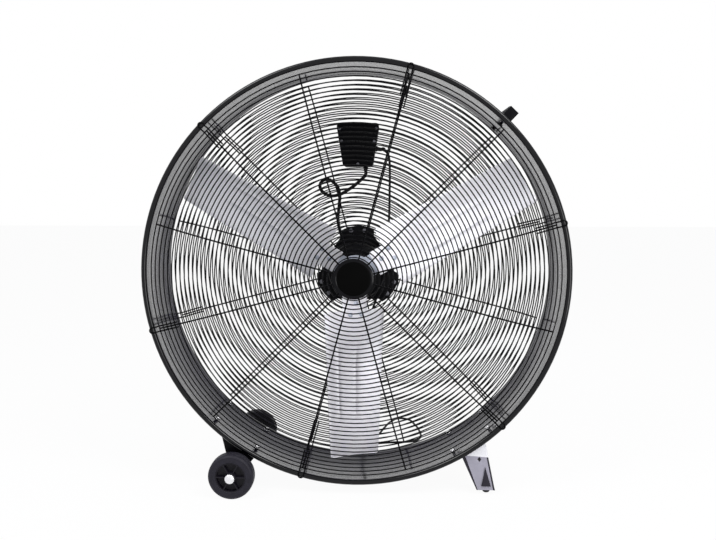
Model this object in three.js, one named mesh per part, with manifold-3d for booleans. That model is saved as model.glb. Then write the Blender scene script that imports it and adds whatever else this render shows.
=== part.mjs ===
// Portable 42-inch drum fan: a rolled steel drum with a direct-drive motor behind three
// aluminium paddle blades, wire guards front and rear, two wheels on the left and two rubber
// feet on the right. Millimetres, +Z up. The fan axis lies along Y; air leaves towards -Y.
//
// Everything is first placed in the fan frame: origin on the axis in the plane of the front
// bead, +X right, +Y rearward, +Z up. The outer group then stands the fan on the floor.

import * as THREE from 'three';
import { mergeVertices } from 'three/addons/utils/BufferGeometryUtils.js';
import Module from 'manifold-3d';

const wasm = await Module();
wasm.setup();

// ---------------------------------------------------------------- driving dimensions

// Running and seating clearances
const SEAT = 0.3;                 // face to face, between pieces that touch
const RUNNING = 0.5;              // axial play beside a wheel or a knob

// Drum
const RIM_RADIUS = 575;           // outside of the rolled bead
const BEAD_RADIUS = 7.5;          // section of the bead
const BEAD_CURL = 150;            // degrees of the bead's section, from the wall's edge outwards
const WALL_INSET = 6.5;           // inside of the rolled wall, inwards from the bead's centre
const WALL_SHEET = 2;
const DRUM_DEPTH = 206;           // bead centre to bead centre
const DRUM_SEGMENTS = 48;
const GROUND_GAP = 27;            // from the floor to the beads

// Wire guards
const RING_WIRE = 3.5;
const SPOKE_WIRE = 5;
const SPOKES = 12;
const FIRST_SPOKE_ANGLE = 15;
const GUARD_INSET = 13;           // outermost ring of both guards, inwards from the wall
const FRONT_GUARD = { first: 57, rings: 9, dish: 27, slope: 218, spokeEnd: 34 };
const REAR_GUARD = { first: 95, rings: 7, dish: 24, slope: 108, spokeEnd: 92 };
const PLATE_RADIUS = 47.5;        // plain disc in the middle of the front guard
const PLATE_SHEET = 2;

// Guard clips: wire hairpins that straddle a spoke, with their bend on the bead
const CLIPS = 6;
const CLIP_WIRE = 4;
const CLIP_SPREAD = 7;            // from the spoke to the middle of a leg
const CLIP_BEND = 7.5;            // radius of the bend
const CLIP_OUT = 4.5;             // centre of the bend, outwards from the bead's centre
const CLIP_PAST = 6;              // the legs end this far inside the guard's second ring

// Rotor
const HUB_DEPTH = 95;             // blade plane behind the front bead
const BLADES = 3;
const FIRST_BLADE_ANGLE = 30;
const TIP_CLEARANCE = 28;         // from the blade tips to the wall
const BLADE_ROOT = 60;
const BLADE_SHEET = 2;
const BLADE_CHORD = 150;
const BLADE_ROOT_CHORD = 76;
const BLADE_FLAT_END = 136;       // the root stays flat up to here, to sit on its arm
const BLADE_FULL_CHORD = 205;
const BLADE_CAMBER = 9;
const BLADE_TIP_ROUND = 26;
const ROOT_PITCH = 28;            // degrees
const TIP_PITCH = 22;
const SPIDER_RADIUS = 52;
const SPIDER_SHEET = 4;
const ARM_SHEET = 3;
const ARM_REACH = 130;
const ARM_WIDTH = 62;
const RIVET_RADIUS = 4;
const RIVET_SPOTS = [[84, 0], [116, -17], [116, 17]];
const SHAFT_RADIUS = 9.5;
const BOSS_RADIUS = 21;
const NUT_RADIUS = 15;
const NUT_HEIGHT = 11;

// Motor and its cradle
const MOTOR_RADIUS = 82;
const MOTOR_FRONT_LENGTH = 27;
const MOTOR_BODY_LENGTH = 45;
const MOTOR_REAR_LENGTH = 20;
const MOTOR_FINS = 18;
const FIN_HEIGHT = 3;
const CRADLE_SHEET = 4;
const CRADLE_BODY = 97;           // corner radius of the cradle between its ears
const EAR_WIDTH = 88;
const EAR_MARGIN = 8;
const CRADLE_BORE = 46;
const STUD_RADIUS = 4;
const STUD_OUTSIDE = 20;          // beyond the rear guard's innermost ring
const STUD_SPREAD = 20;
const CLAMP_WIDTH = 68;
const CLAMP_LENGTH = 36;
const CLAMP_SHEET = 3;

// Wheels and axle
const WHEEL_RADIUS = 62.5;
const TYRE_BORE = 41;
const TYRE_WIDTH = 36;
const WHEEL_SEGMENTS = 20;
const WHEEL_X = -332;
const FRONT_WHEEL_DEPTH = -36;
const REAR_WHEEL_DEPTH = 336;
const AXLE_RADIUS = 8;
const HUB_RIM = 6;
const WHEEL_WEB = 6;
const WHEEL_RIBS = 6;
const WHEEL_BOSS_RADIUS = 15;
const WHEEL_BOSS_LENGTH = 40;
const AXLE_TUBE_RADIUS = 13;
const CAP_RADIUS = 13.5;
const CAP_LENGTH = 12;

// Brackets under the drum
const BRACKET_SHEET = 3;
const BRACKET_INSET = 14;         // from each bead centre to the bracket
const AXLE_BRACKET_ANGLE = 233.6;
const AXLE_BRACKET_SPAN = 20;
const AXLE_BRACKET_BOLTS = [-7, 7];
const AXLE_LUG_RADIUS = 21;
const LEG_ANGLE = -54.8;
const LEG_SPAN = 18;
const LEG_BOLTS = [-6, 6];
const LEG_TOP_SPAN = 10.5;
const LEG_BOTTOM_LEFT = 338;
const LEG_BOTTOM_RIGHT = 388;
const LEG_FLANGE = 16;
const LEG_SHELF = 36;
const FOOT_HEIGHT = 12;
const FOOT_RADIUS = 11;
const FOOT_INSET = 22;            // from the leg's right edge
const FOOT_NECK = 4;
const RIB_RISE = 4;               // of the pressed triangle on the leg
const RIB_LENGTH = 54;
const RIB_FROM_BOTTOM = 12;
const RIB_HALF_WIDTH = 13;
const RIB_LEAN = 3;
const DIAMOND_ASIDE = 20;
const DIAMOND_RISE = 88;
const DIAMOND_WIDTH = 11;
const DIAMOND_HEIGHT = 15;
const BOLT_RADIUS = 4;
const BOLT_HEAD_RADIUS = 8;
const BOLT_HEAD_HEIGHT = 4;

// Handle
const HANDLE_ANGLE = 46.5;
const HANDLE_WIDTH = 28;
const HANDLE_SHEET = 4;
const HANDLE_STANDOFF = 43;       // outside of the bar above the wall
const HANDLE_INSET = 16;
const HANDLE_FOOT = 38;
const GRIP_WIDTH = 31;
const GRIP_HEIGHT = 15;
const GRIP_LENGTH = 126;

// Switch box on the rear guard
const BOX_TOP_WIDTH = 124;
const BOX_BOTTOM_WIDTH = 87;
const BOX_EDGE = 7;               // below the lowest screw
const BOX_TOP_EDGE = 6;           // above the highest screws
const BOX_DEPTH = 66;
const BOX_CORNER = 8;
const BOX_SHEET = 3;
// Each screw's distance from the middle, the guard ring it stays beside and how far from it
const BOX_SCREWS = [[0, 3, -12.5], [-48, 4, -18], [48, 4, -18], [-54, 4, 18.5], [54, 4, 18.5]];
const SCREW_RADIUS = 2.5;
const SCREW_LENGTH = 14;
const KNOB_RADIUS = 17;
const KNOB_HEIGHT = 15;
const KNOB_STEM = 4;
const GLAND_RADIUS = 8.5;
const GLAND_LENGTH = 9;
const CORD_GLAND_RISE = 54;       // above the bottom of the box
const LEAD_GLAND_X = 22;
const MOTOR_GLAND = [-22, 18];

// Cords
const CORD_RADIUS = 3.5;
const LEAD_RADIUS = 5;
const FLOOR_SKIN = 0.4;           // the cord lies this far above the floor
const COIL_CENTRE = [-30, 296];
const COIL_RADIUS = 46;
const COIL_PITCH = 7.8;
const COIL_LAYER_GAP = 0.6;
const COIL_TURNS = 1.5;           // in on the lower layer, and out again on the upper one
const COIL_TAIL = 36;             // straight run from the coil to the plug
const PLUG_LENGTH = 34;
const PLUG_WIDTH = 27;
const PLUG_PIN = 17;

// ---------------------------------------------------------------- shared positions

const beadCentre = RIM_RADIUS - BEAD_RADIUS;
const wallRadius = beadCentre - WALL_INSET;
const wallOutside = wallRadius + WALL_SHEET;
const seatRadius = wallOutside + SEAT;
const guardRim = wallRadius - GUARD_INSET;
const bladeTip = wallRadius - TIP_CLEARANCE;
const handleReach = wallOutside + HANDLE_STANDOFF;
const axisHeight = RIM_RADIUS + GROUND_GAP;
const floor = -axisHeight;
const footX = LEG_BOTTOM_RIGHT - FOOT_INSET;
const wheelHeight = floor + WHEEL_RADIUS;
const midDepth = (FRONT_WHEEL_DEPTH + REAR_WHEEL_DEPTH) / 2;
const bracketFront = BRACKET_INSET;
const bracketRear = DRUM_DEPTH - BRACKET_INSET;

const ringRadius = (guard, k) => guard.first + k * (guardRim - guard.first) / (guard.rings - 1);
const rearPlane = DRUM_DEPTH + REAR_GUARD.dish;
const rearRingFront = rearPlane - RING_WIRE / 2;
const rearRingBack = rearPlane + RING_WIRE / 2;

const cradleRear = rearRingFront - SEAT;
const cradleFront = cradleRear - CRADLE_SHEET;
const motorRear = cradleFront - SEAT;
const rearShieldFront = motorRear - MOTOR_REAR_LENGTH;
const bodyRear = rearShieldFront - SEAT;
const bodyFront = bodyRear - MOTOR_BODY_LENGTH;
const frontShieldRear = bodyFront - SEAT;
const motorFront = frontShieldRear - MOTOR_FRONT_LENGTH;
const shaftBore = SHAFT_RADIUS + SEAT;
const studRadius = REAR_GUARD.first + STUD_OUTSIDE;
const earReach = studRadius + EAR_MARGIN;

// The arms lie behind the flat roots of the blades.
const armFront = BLADE_SHEET / 2 + SEAT;
const spiderDepth = HUB_DEPTH + armFront + ARM_SHEET / 2;
const spiderFront = spiderDepth - SPIDER_SHEET / 2;
const spiderRear = spiderDepth + SPIDER_SHEET / 2;
const shaftEnd = spiderFront - NUT_HEIGHT - 4;

/** Height of a box screw above the fan axis. */
function screwHeight([x, ring, beside]) {
  return Math.sqrt((ringRadius(REAR_GUARD, ring) + beside) ** 2 - x * x);
}
const boxBottom = screwHeight(BOX_SCREWS[0]) - BOX_EDGE;
const boxHeight = screwHeight(BOX_SCREWS[3]) + BOX_TOP_EDGE - boxBottom;
const boxFront = rearRingBack + SEAT;
const boxRear = boxFront + BOX_DEPTH;
const boxMiddle = (boxFront + boxRear) / 2;
const boxSlope = Math.atan2((BOX_TOP_WIDTH - BOX_BOTTOM_WIDTH) / 2, boxHeight);
const lidRear = boxRear + SEAT + BOX_SHEET;

// ---------------------------------------------------------------- materials

const finish = (name, color, roughness, metalness) =>
  new THREE.MeshStandardMaterial({ name, color, roughness, metalness });

const drumBlack = finish('drum_black', 0x17171b, 0.35, 0.2);
const wireBlack = finish('wire_black', 0x101013, 0.4, 0.2);
const aluminium = finish('blade_aluminium', 0xd8d7e0, 0.35, 0.85);
const hubZinc = finish('hub_zinc', 0xaab0c0, 0.4, 0.8);
const motorBlack = finish('motor_black', 0x111114, 0.5, 0.2);
const steel = finish('steel', 0x8f9196, 0.35, 0.9);
const zinc = finish('zinc', 0xe4e4e8, 0.3, 0.8);
const legPaint = finish('leg_paint', 0x8f8d9c, 0.45, 0.4);
const tyreRubber = finish('tyre_rubber', 0x2c2b33, 0.8, 0);
const wheelPlastic = finish('wheel_plastic', 0x222128, 0.6, 0);
const gripPlastic = finish('grip_plastic', 0x3b3b40, 0.7, 0);
const boxPlastic = finish('box_plastic', 0x131316, 0.5, 0);
const knobPlastic = finish('knob_plastic', 0x1d1d21, 0.45, 0);
const cordPvc = finish('cord_pvc', 0x141416, 0.55, 0);
const footRubber = finish('foot_rubber', 0x242428, 0.85, 0);

// ---------------------------------------------------------------- solids

const radians = THREE.MathUtils.degToRad;

/** Merge shared vertices, drop collapsed faces and turn every face outwards. */
function weld(geometry) {
  const bare = geometry.clone();
  bare.deleteAttribute('normal');
  bare.deleteAttribute('uv');
  const merged = mergeVertices(bare, 1e-4);
  const position = merged.getAttribute('position');
  const kept = [];
  let volume = 0;
  for (let i = 0; i < merged.index.count; i += 3) {
    const [a, b, c] = [0, 1, 2].map((k) => merged.index.getX(i + k));
    if (a === b || b === c || c === a) continue;
    kept.push(a, b, c);
    const [p, q, r] = [a, b, c].map((k) => new THREE.Vector3().fromBufferAttribute(position, k));
    volume += p.dot(q.cross(r));
  }
  merged.setIndex(volume < 0 ? kept.reverse() : kept);
  return merged;
}

function toSolid(geometry) {
  const closed = weld(geometry);
  return new wasm.Manifold(new wasm.Mesh({
    numProp: 3,
    vertProperties: new Float32Array(closed.getAttribute('position').array),
    triVerts: new Uint32Array(closed.index.array),
  }));
}

function toGeometry(solid) {
  const mesh = solid.getMesh();
  const geometry = new THREE.BufferGeometry();
  geometry.setAttribute('position', new THREE.BufferAttribute(new Float32Array(mesh.vertProperties), 3));
  geometry.setIndex(Array.from(mesh.triVerts));
  return geometry;
}

const join = (first, ...others) =>
  toGeometry(others.reduce((sum, other) => sum.add(toSolid(other)), toSolid(first)));

const cut = (base, ...tools) =>
  toGeometry(tools.reduce((rest, tool) => rest.subtract(toSolid(tool)), toSolid(base)));

/** Turn a profile of [radius, depth] points round the Y axis. */
function revolve(profile, segments) {
  const points = profile.map(([radius, depth]) => new THREE.Vector2(radius, depth));
  const onAxis = profile[0][0] === 0 && profile[profile.length - 1][0] === 0;
  if (!onAxis) points.push(points[0].clone());
  return weld(new THREE.LatheGeometry(points, segments));
}

/** A round bar or bored bush along Y, from one depth to another. */
function bar(radius, from, to, segments, bore = 0) {
  if (bore === 0) return revolve([[0, from], [radius, from], [radius, to], [0, to]], segments);
  return revolve([[bore, from], [radius, from], [radius, to], [bore, to]], segments);
}

/** Stand a flat outline in the XZ plane and give it thickness along Y. */
function panel(outline, front, thickness) {
  const shape = outline instanceof THREE.Shape
    ? outline
    : new THREE.Shape(outline.map(([x, z]) => new THREE.Vector2(x, z)));
  const sheet = new THREE.ExtrudeGeometry(shape, { depth: thickness, bevelEnabled: false, curveSegments: 3 });
  return weld(sheet.rotateX(Math.PI / 2).translate(0, front + thickness, 0));
}

/** Bend a strip profile of [radius, depth] points, with its width along Z. */
function strip(profile, width) {
  const shape = new THREE.Shape(profile.map(([x, y]) => new THREE.Vector2(x, y)));
  const sheet = new THREE.ExtrudeGeometry(shape, { depth: width, bevelEnabled: false });
  return weld(sheet.translate(0, 0, -width / 2));
}

const block = (width, depth, height, x, y, z) =>
  weld(new THREE.BoxGeometry(width, depth, height).translate(x, y, z));

/** Turn a copy of a piece that was built along +X to an angle on the fan's face. */
const turned = (geometry, degrees) => geometry.clone().rotateY(-radians(degrees));

const polar = (radius, degrees) =>
  [radius * Math.cos(radians(degrees)), radius * Math.sin(radians(degrees))];

/** Radius of a faceted ring's surface at an angle between its corners. */
function facetRadius(radius, segments, degrees) {
  const step = 360 / segments;
  const aside = ((degrees % step) + step) % step - step / 2;
  return radius * Math.cos(radians(step / 2)) / Math.cos(radians(aside));
}

/** Points along the drum's facets, for pieces that sit on its wall. */
function drumArc(radius, from, to) {
  const step = 360 / DRUM_SEGMENTS;
  const angles = [from];
  for (let a = Math.floor(from / step + 1) * step; a < to; a += step) angles.push(a);
  angles.push(to);
  return angles.map((a) => polar(facetRadius(radius, DRUM_SEGMENTS, a), a));
}

function roundedOutline(corners, radius) {
  const shape = new THREE.Shape();
  corners.forEach(([x, z], i) => {
    const here = new THREE.Vector2(x, z);
    const before = new THREE.Vector2(...corners[(i + corners.length - 1) % corners.length]);
    const after = new THREE.Vector2(...corners[(i + 1) % corners.length]);
    const start = before.sub(here).setLength(radius).add(here);
    const end = after.sub(here).setLength(radius).add(here);
    if (i === 0) shape.moveTo(start.x, start.y);
    else shape.lineTo(start.x, start.y);
    shape.quadraticCurveTo(x, z, end.x, end.y);
  });
  shape.closePath();
  return shape;
}

/** A round cord along a curve. */
function tube(curve, radius, sides, steps) {
  const section = new THREE.Shape();
  for (let i = 0; i < sides; i++) {
    const a = (i + 0.5) * 2 * Math.PI / sides;
    section[i === 0 ? 'moveTo' : 'lineTo'](radius * Math.cos(a), radius * Math.sin(a));
  }
  section.closePath();
  return weld(new THREE.ExtrudeGeometry(section, { extrudePath: curve, steps, bevelEnabled: false }));
}

/** A tube through given points, each ring square to the way, one side facing the normal. */
function pathTube(points, radius, sides, normal) {
  const corners = [];
  const faces = [];
  points.forEach((point, i) => {
    const before = points[Math.max(i - 1, 0)];
    const after = points[Math.min(i + 1, points.length - 1)];
    const way = after.clone().sub(before).normalize();
    const across = normal.clone().cross(way).normalize();
    const up = way.clone().cross(across);
    for (let k = 0; k < sides; k++) {
      const a = k * 2 * Math.PI / sides;
      const corner = point.clone().addScaledVector(across, radius * Math.cos(a))
        .addScaledVector(up, radius * Math.sin(a));
      corners.push(corner.x, corner.y, corner.z);
    }
  });
  const last = (points.length - 1) * sides;
  for (let i = 0; i + 1 < points.length; i++) {
    for (let k = 0; k < sides; k++) {
      const a = i * sides + k;
      const b = i * sides + (k + 1) % sides;
      faces.push(a, b, b + sides, a, b + sides, a + sides);
    }
  }
  for (let k = 1; k + 1 < sides; k++) {
    faces.push(0, k + 1, k, last, last + k, last + k + 1);
  }
  const geometry = new THREE.BufferGeometry();
  geometry.setAttribute('position', new THREE.Float32BufferAttribute(corners, 3));
  geometry.setIndex(faces);
  return weld(geometry);
}

const route = (points) =>
  new THREE.CatmullRomCurve3(points.map((p) => new THREE.Vector3(...p)), false, 'centripetal');

// ---------------------------------------------------------------- scene

const drumFan = new THREE.Group();
const fan = new THREE.Group();
fan.position.set(0, -midDepth, axisHeight);
drumFan.add(fan);

/** Put a named piece in the fan frame, turned to an angle on the fan's face. */
function place(name, geometry, material, degrees = 0) {
  const mesh = new THREE.Mesh(geometry, material);
  mesh.name = name;
  mesh.rotation.y = -radians(degrees);
  fan.add(mesh);
  return mesh;
}

// ---------------------------------------------------------------- drum

/** A bolt through the drum wall, built along +X, its head inside the drum. */
function wallBolt(depth) {
  const headFace = facetRadius(wallRadius, DRUM_SEGMENTS, 180 / DRUM_SEGMENTS) - 2 * SEAT;
  const shank = bar(BOLT_RADIUS, headFace - 1, seatRadius + 1, 6);
  const head = bar(BOLT_HEAD_RADIUS, headFace - BOLT_HEAD_HEIGHT, headFace, 6);
  return join(shank, head).rotateZ(-Math.PI / 2).translate(0, depth, 0);
}

const wallHole = (depth) => bar(BOLT_RADIUS + 2 * SEAT, wallRadius - 6, wallOutside + 6, 6)
  .rotateZ(-Math.PI / 2).translate(0, depth, 0);

const boltDepths = [bracketFront + 22, bracketRear - 10];
const handleBoltInset = HANDLE_INSET + HANDLE_FOOT / 2 + 3;
const handleBoltDepths = [handleBoltInset, DRUM_DEPTH - handleBoltInset];

/** Every bolt that a bracket puts through the wall, as [angle, depth]. */
const bracketBolts = (angle, offsets) =>
  offsets.flatMap((offset) => boltDepths.map((depth) => [angle + offset, depth]));

const axleBolts = bracketBolts(AXLE_BRACKET_ANGLE, AXLE_BRACKET_BOLTS);
const legBolts = bracketBolts(LEG_ANGLE, LEG_BOLTS);
const handleBolts = handleBoltDepths.map((depth) => [HANDLE_ANGLE, depth]);

function drumShell() {
  const beadArc = (centre, from, to) => [0, 1, 2, 3].map((i) => {
    const a = radians(from + (to - from) * i / 3);
    return [beadCentre + BEAD_RADIUS * Math.cos(a), centre + BEAD_RADIUS * Math.sin(a)];
  });
  const wall = [
    [wallRadius, BEAD_RADIUS / 2], ...beadArc(0, 360 - BEAD_CURL, 360), [wallOutside, BEAD_RADIUS],
    [wallOutside, DRUM_DEPTH - BEAD_RADIUS], ...beadArc(DRUM_DEPTH, 0, BEAD_CURL),
    [wallRadius, DRUM_DEPTH - BEAD_RADIUS / 2],
  ];
  const holes = [...axleBolts, ...legBolts, ...handleBolts]
    .map(([angle, depth]) => turned(wallHole(depth), angle));
  return cut(revolve(wall, DRUM_SEGMENTS), ...holes);
}

place('drum_shell', drumShell(), drumBlack);

// ---------------------------------------------------------------- guards

/** How far a guard stands out from the bead plane at a radius. */
function standOff(guard, radius) {
  const t = Math.max(0, 1 - (guardRim - radius) / guard.slope);
  return guard.dish * (1 - t * t);
}

/** Rings welded flush into radial spokes, dished towards -Y, as one closed lattice. */
function wireGuard(guard) {
  const radii = Array.from({ length: guard.rings }, (_, k) => ringRadius(guard, k));
  const corners = [];
  const faces = [];
  const quad = (a, b, c, d) => faces.push(a, b, c, a, c, d);
  const bridge = (from, to) => from.forEach((_, i) => {
    const next = (i + 1) % from.length;
    quad(from[i], from[next], to[next], to[i]);
  });

  /** One corner at a distance along a spoke direction and beside it. */
  function corner(angle, radial, across, depth) {
    const [x, z] = polar(radial, angle);
    const [sideX, sideZ] = polar(across, angle + 90);
    corners.push(x + sideX, depth, z + sideZ);
    return corners.length / 3 - 1;
  }

  /** The eight corners of a crossing, by radial, sideways and depth side. */
  function crossing(angle, radius, depth) {
    const sides = [-0.5, 0.5];
    return sides.map((r) => sides.map((t) => sides.map((d) =>
      corner(angle, radius + r * RING_WIRE, t * SPOKE_WIRE, depth + d * RING_WIRE))));
  }

  const radialLoop = (c, r) => [c[r][0][0], c[r][1][0], c[r][1][1], c[r][0][1]];
  const sideLoop = (c, t) => [c[0][t][0], c[0][t][1], c[1][t][1], c[1][t][0]];
  const step = 360 / SPOKES;
  const spokes = Array.from({ length: SPOKES }, (_, i) => {
    const angle = FIRST_SPOKE_ANGLE + i * step;
    return radii.map((radius) => crossing(angle, radius, -standOff(guard, radius)));
  });
  spokes.forEach((joints, i) => {
    const angle = FIRST_SPOKE_ANGLE + i * step;
    const neighbours = spokes[(i + 1) % SPOKES];
    const half = RING_WIRE / 2;
    joints.forEach((joint, k) => {
      quad(joint[0][0][0], joint[0][1][0], joint[1][1][0], joint[1][0][0]);
      quad(joint[0][0][1], joint[1][0][1], joint[1][1][1], joint[0][1][1]);
      if (k + 1 < joints.length) bridge(radialLoop(joint, 1), radialLoop(joints[k + 1], 0));
      const depth = -standOff(guard, radii[k]);
      const middle = [[-half, -half], [-half, half], [half, half], [half, -half]]
        .map(([r, d]) => corner(angle + step / 2, radii[k] + r, 0, depth + d));
      bridge(sideLoop(joint, 1), middle);
      bridge(middle, sideLoop(neighbours[k], 0));
    });
    const inner = radialLoop(joints[0], 0);
    const depth = -standOff(guard, guard.spokeEnd);
    const end = [[-0.5, -half], [0.5, -half], [0.5, half], [-0.5, half]]
      .map(([t, d]) => corner(angle, guard.spokeEnd, t * SPOKE_WIRE, depth + d));
    bridge(end, inner);
    quad(...end.reverse());
    quad(...radialLoop(joints[joints.length - 1], 1));
  });
  const geometry = new THREE.BufferGeometry();
  geometry.setAttribute('position', new THREE.Float32BufferAttribute(corners, 3));
  geometry.setIndex(faces);
  return weld(geometry);
}

const toRear = (geometry) => geometry.scale(1, -1, 1).translate(0, DRUM_DEPTH, 0);

place('front_guard', wireGuard(FRONT_GUARD), wireBlack);
place('rear_guard', weld(toRear(wireGuard(REAR_GUARD))), wireBlack);

function guardPlate() {
  const back = -FRONT_GUARD.dish - RING_WIRE / 2 - SEAT;
  const front = back - PLATE_SHEET;
  return revolve([
    [0, front], [PLATE_RADIUS - 3, front], [PLATE_RADIUS, front + 1], [PLATE_RADIUS, back], [0, back],
  ], 24);
}

place('front_guard_plate', guardPlate(), wireBlack);

/** A wire hairpin on two rings of a guard, with its bend in front of the bead. */
function guardClip(guard) {
  const half = CLIP_WIRE / 2;
  const second = ringRadius(guard, guard.rings - 2);
  const onRing = (radius) => -standOff(guard, radius) - RING_WIRE / 2 - SEAT - half;
  const onBead = -BEAD_RADIUS - SEAT - half;
  const slope = (onRing(guardRim) - onRing(second)) / (guardRim - second);
  const leg = [
    [second - CLIP_PAST, onRing(second) - CLIP_PAST * slope, CLIP_SPREAD],
    [guardRim, onRing(guardRim), CLIP_SPREAD],
    [beadCentre - BEAD_RADIUS, onBead, CLIP_SPREAD],
  ];
  const bend = [90, 45, 0, -45, -90].map((degrees) => {
    const [out, across] = polar(CLIP_BEND, degrees);
    return [beadCentre + CLIP_OUT + out, onBead, across];
  });
  const back = leg.map(([radius, depth, across]) => [radius, depth, -across]).reverse();
  const points = [...leg, ...bend, ...back].map((p) => new THREE.Vector3(...p));
  return pathTube(points, half, 4, new THREE.Vector3(0, 1, 0));
}

for (let i = 0; i < CLIPS; i++) {
  const angle = FIRST_SPOKE_ANGLE + i * 360 / CLIPS;
  place(`front_clip_${i + 1}`, guardClip(FRONT_GUARD), wireBlack, angle);
  place(`rear_clip_${i + 1}`, weld(toRear(guardClip(REAR_GUARD))), wireBlack, angle);
}

// ---------------------------------------------------------------- rotor

/** Half chord of a blade at a radius: narrow root, parallel paddle, rounded tip. */
function halfChord(radius) {
  const flare = THREE.MathUtils.smoothstep(radius, ARM_REACH - 10, BLADE_FULL_CHORD);
  const half = THREE.MathUtils.lerp(BLADE_ROOT_CHORD, BLADE_CHORD, flare) / 2;
  const past = Math.max(0, radius - (bladeTip - BLADE_TIP_ROUND));
  return half - BLADE_TIP_ROUND + Math.sqrt(BLADE_TIP_ROUND ** 2 - Math.min(past, BLADE_TIP_ROUND) ** 2);
}

/** A cambered and twisted paddle along +X, made of one sheet. */
function bladeSheet() {
  const tipSteps = [0.35, 0.65, 0.88, 1];
  const stations = [BLADE_ROOT, ARM_REACH - 10, BLADE_FLAT_END, 160, 185, BLADE_FULL_CHORD, 290, 380, 450,
    bladeTip - BLADE_TIP_ROUND, ...tipSteps.map((s) => bladeTip - BLADE_TIP_ROUND * (1 - s))];
  const across = [-1, -0.5, 0, 0.5, 1];
  const corners = [];
  for (const side of [-1, 1]) {
    for (const radius of stations) {
      const outward = THREE.MathUtils.smoothstep(radius, BLADE_FLAT_END, bladeTip);
      const pitch = radians(THREE.MathUtils.lerp(ROOT_PITCH, TIP_PITCH, outward));
      const camber = BLADE_CAMBER * THREE.MathUtils.smoothstep(radius, BLADE_FLAT_END, BLADE_FULL_CHORD + 60);
      for (const v of across) {
        const chord = halfChord(radius) * v;
        const lift = camber * (1 - v * v) + side * BLADE_SHEET / 2;
        corners.push(radius, HUB_DEPTH + chord * Math.sin(pitch) + lift * Math.cos(pitch),
          chord * Math.cos(pitch) - lift * Math.sin(pitch));
      }
    }
  }
  const columns = across.length;
  const layer = stations.length * columns;
  const faces = [];
  const quad = (a, b, c, d) => faces.push(a, b, c, a, c, d);
  for (let i = 0; i + 1 < stations.length; i++) {
    for (let j = 0; j + 1 < columns; j++) {
      const a = i * columns + j;
      quad(a, a + 1, a + columns + 1, a + columns);
      quad(layer + a, layer + a + columns, layer + a + columns + 1, layer + a + 1);
    }
    const left = i * columns;
    const right = left + columns - 1;
    quad(left, left + columns, layer + left + columns, layer + left);
    quad(right, layer + right, layer + right + columns, right + columns);
  }
  for (let j = 0; j + 1 < columns; j++) {
    const end = layer - columns + j;
    quad(j, layer + j, layer + j + 1, j + 1);
    quad(end, end + 1, layer + end + 1, layer + end);
  }
  const geometry = new THREE.BufferGeometry();
  geometry.setAttribute('position', new THREE.Float32BufferAttribute(corners, 3));
  geometry.setIndex(faces);
  return weld(geometry);
}

/** Move a piece from the flat frame of a blade root into the fan frame. */
const pitched = (geometry) => geometry.rotateX(-radians(ROOT_PITCH)).translate(0, HUB_DEPTH, 0);

const rivetHoles = RIVET_SPOTS.map(([radius, aside]) =>
  pitched(bar(RIVET_RADIUS + SEAT, -8, 8, 6).translate(radius, 0, aside)));

const blade = cut(bladeSheet(), ...rivetHoles);

/** One arm of the spider with the rivets that hold a blade. */
function spiderArm() {
  const inner = SPIDER_RADIUS / 2;
  const arm = block(ARM_REACH - inner, ARM_SHEET, ARM_WIDTH,
    (ARM_REACH + inner) / 2, armFront + ARM_SHEET / 2, 0);
  const headRear = -BLADE_SHEET / 2 - SEAT;
  const rivets = RIVET_SPOTS.flatMap(([radius, aside]) => [
    bar(RIVET_RADIUS, headRear - 1, armFront + 1, 6).translate(radius, 0, aside),
    bar(RIVET_RADIUS * 1.8, headRear - 2.5, headRear, 6).translate(radius, 0, aside),
  ]);
  return pitched(join(arm, ...rivets));
}

function hubSpider() {
  const disc = bar(SPIDER_RADIUS, spiderFront, spiderRear, 24);
  const arms = Array.from({ length: BLADES }, (_, i) =>
    turned(spiderArm(), FIRST_BLADE_ANGLE + i * 360 / BLADES));
  return cut(join(disc, ...arms), bar(NUT_RADIUS + 3, spiderFront - 40, spiderFront, 24),
    bar(BOSS_RADIUS + SEAT, spiderRear, spiderRear + 40, 24), bar(shaftBore, 0, DRUM_DEPTH, 16));
}

place('hub_spider', hubSpider(), hubZinc);
place('hub_boss', bar(BOSS_RADIUS, spiderRear + SEAT, motorFront - 4, 24, shaftBore), hubZinc);
for (let i = 0; i < BLADES; i++) {
  place(`blade_${i + 1}`, blade.clone(), aluminium, FIRST_BLADE_ANGLE + i * 360 / BLADES);
}

function shaftNut() {
  const back = spiderFront - SEAT;
  return cut(bar(NUT_RADIUS, back - NUT_HEIGHT, back, 6), bar(shaftBore, back - NUT_HEIGHT - 1, back + 1, 16));
}

place('shaft_nut', shaftNut(), zinc);

// ---------------------------------------------------------------- motor

function motorFrontShield() {
  const r = MOTOR_RADIUS;
  return revolve([
    [shaftBore, motorFront], [24, motorFront], [30, motorFront + 6], [r - 14, motorFront + 10],
    [r, motorFront + 19], [r, frontShieldRear], [shaftBore, frontShieldRear],
  ], 24);
}

/** The finned stator housing. */
function motorBody() {
  const outline = [];
  for (let i = 0; i < MOTOR_FINS; i++) {
    for (const [share, rise] of [[0, 0], [0.5, 0], [0.55, FIN_HEIGHT], [0.95, FIN_HEIGHT]]) {
      outline.push(polar(MOTOR_RADIUS - FIN_HEIGHT + rise, (i + share) * 360 / MOTOR_FINS));
    }
  }
  return cut(panel(outline, bodyFront, MOTOR_BODY_LENGTH), bar(shaftBore, bodyFront - 1, bodyRear + 1, 16));
}

function motorRearShield() {
  const r = MOTOR_RADIUS;
  const blind = rearShieldFront + MOTOR_REAR_LENGTH / 2;
  return revolve([
    [0, blind], [shaftBore, blind], [shaftBore, rearShieldFront], [r, rearShieldFront],
    [r, rearShieldFront + 9], [r - 8, motorRear - 3], [r - 20, motorRear], [0, motorRear],
  ], 24);
}

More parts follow.
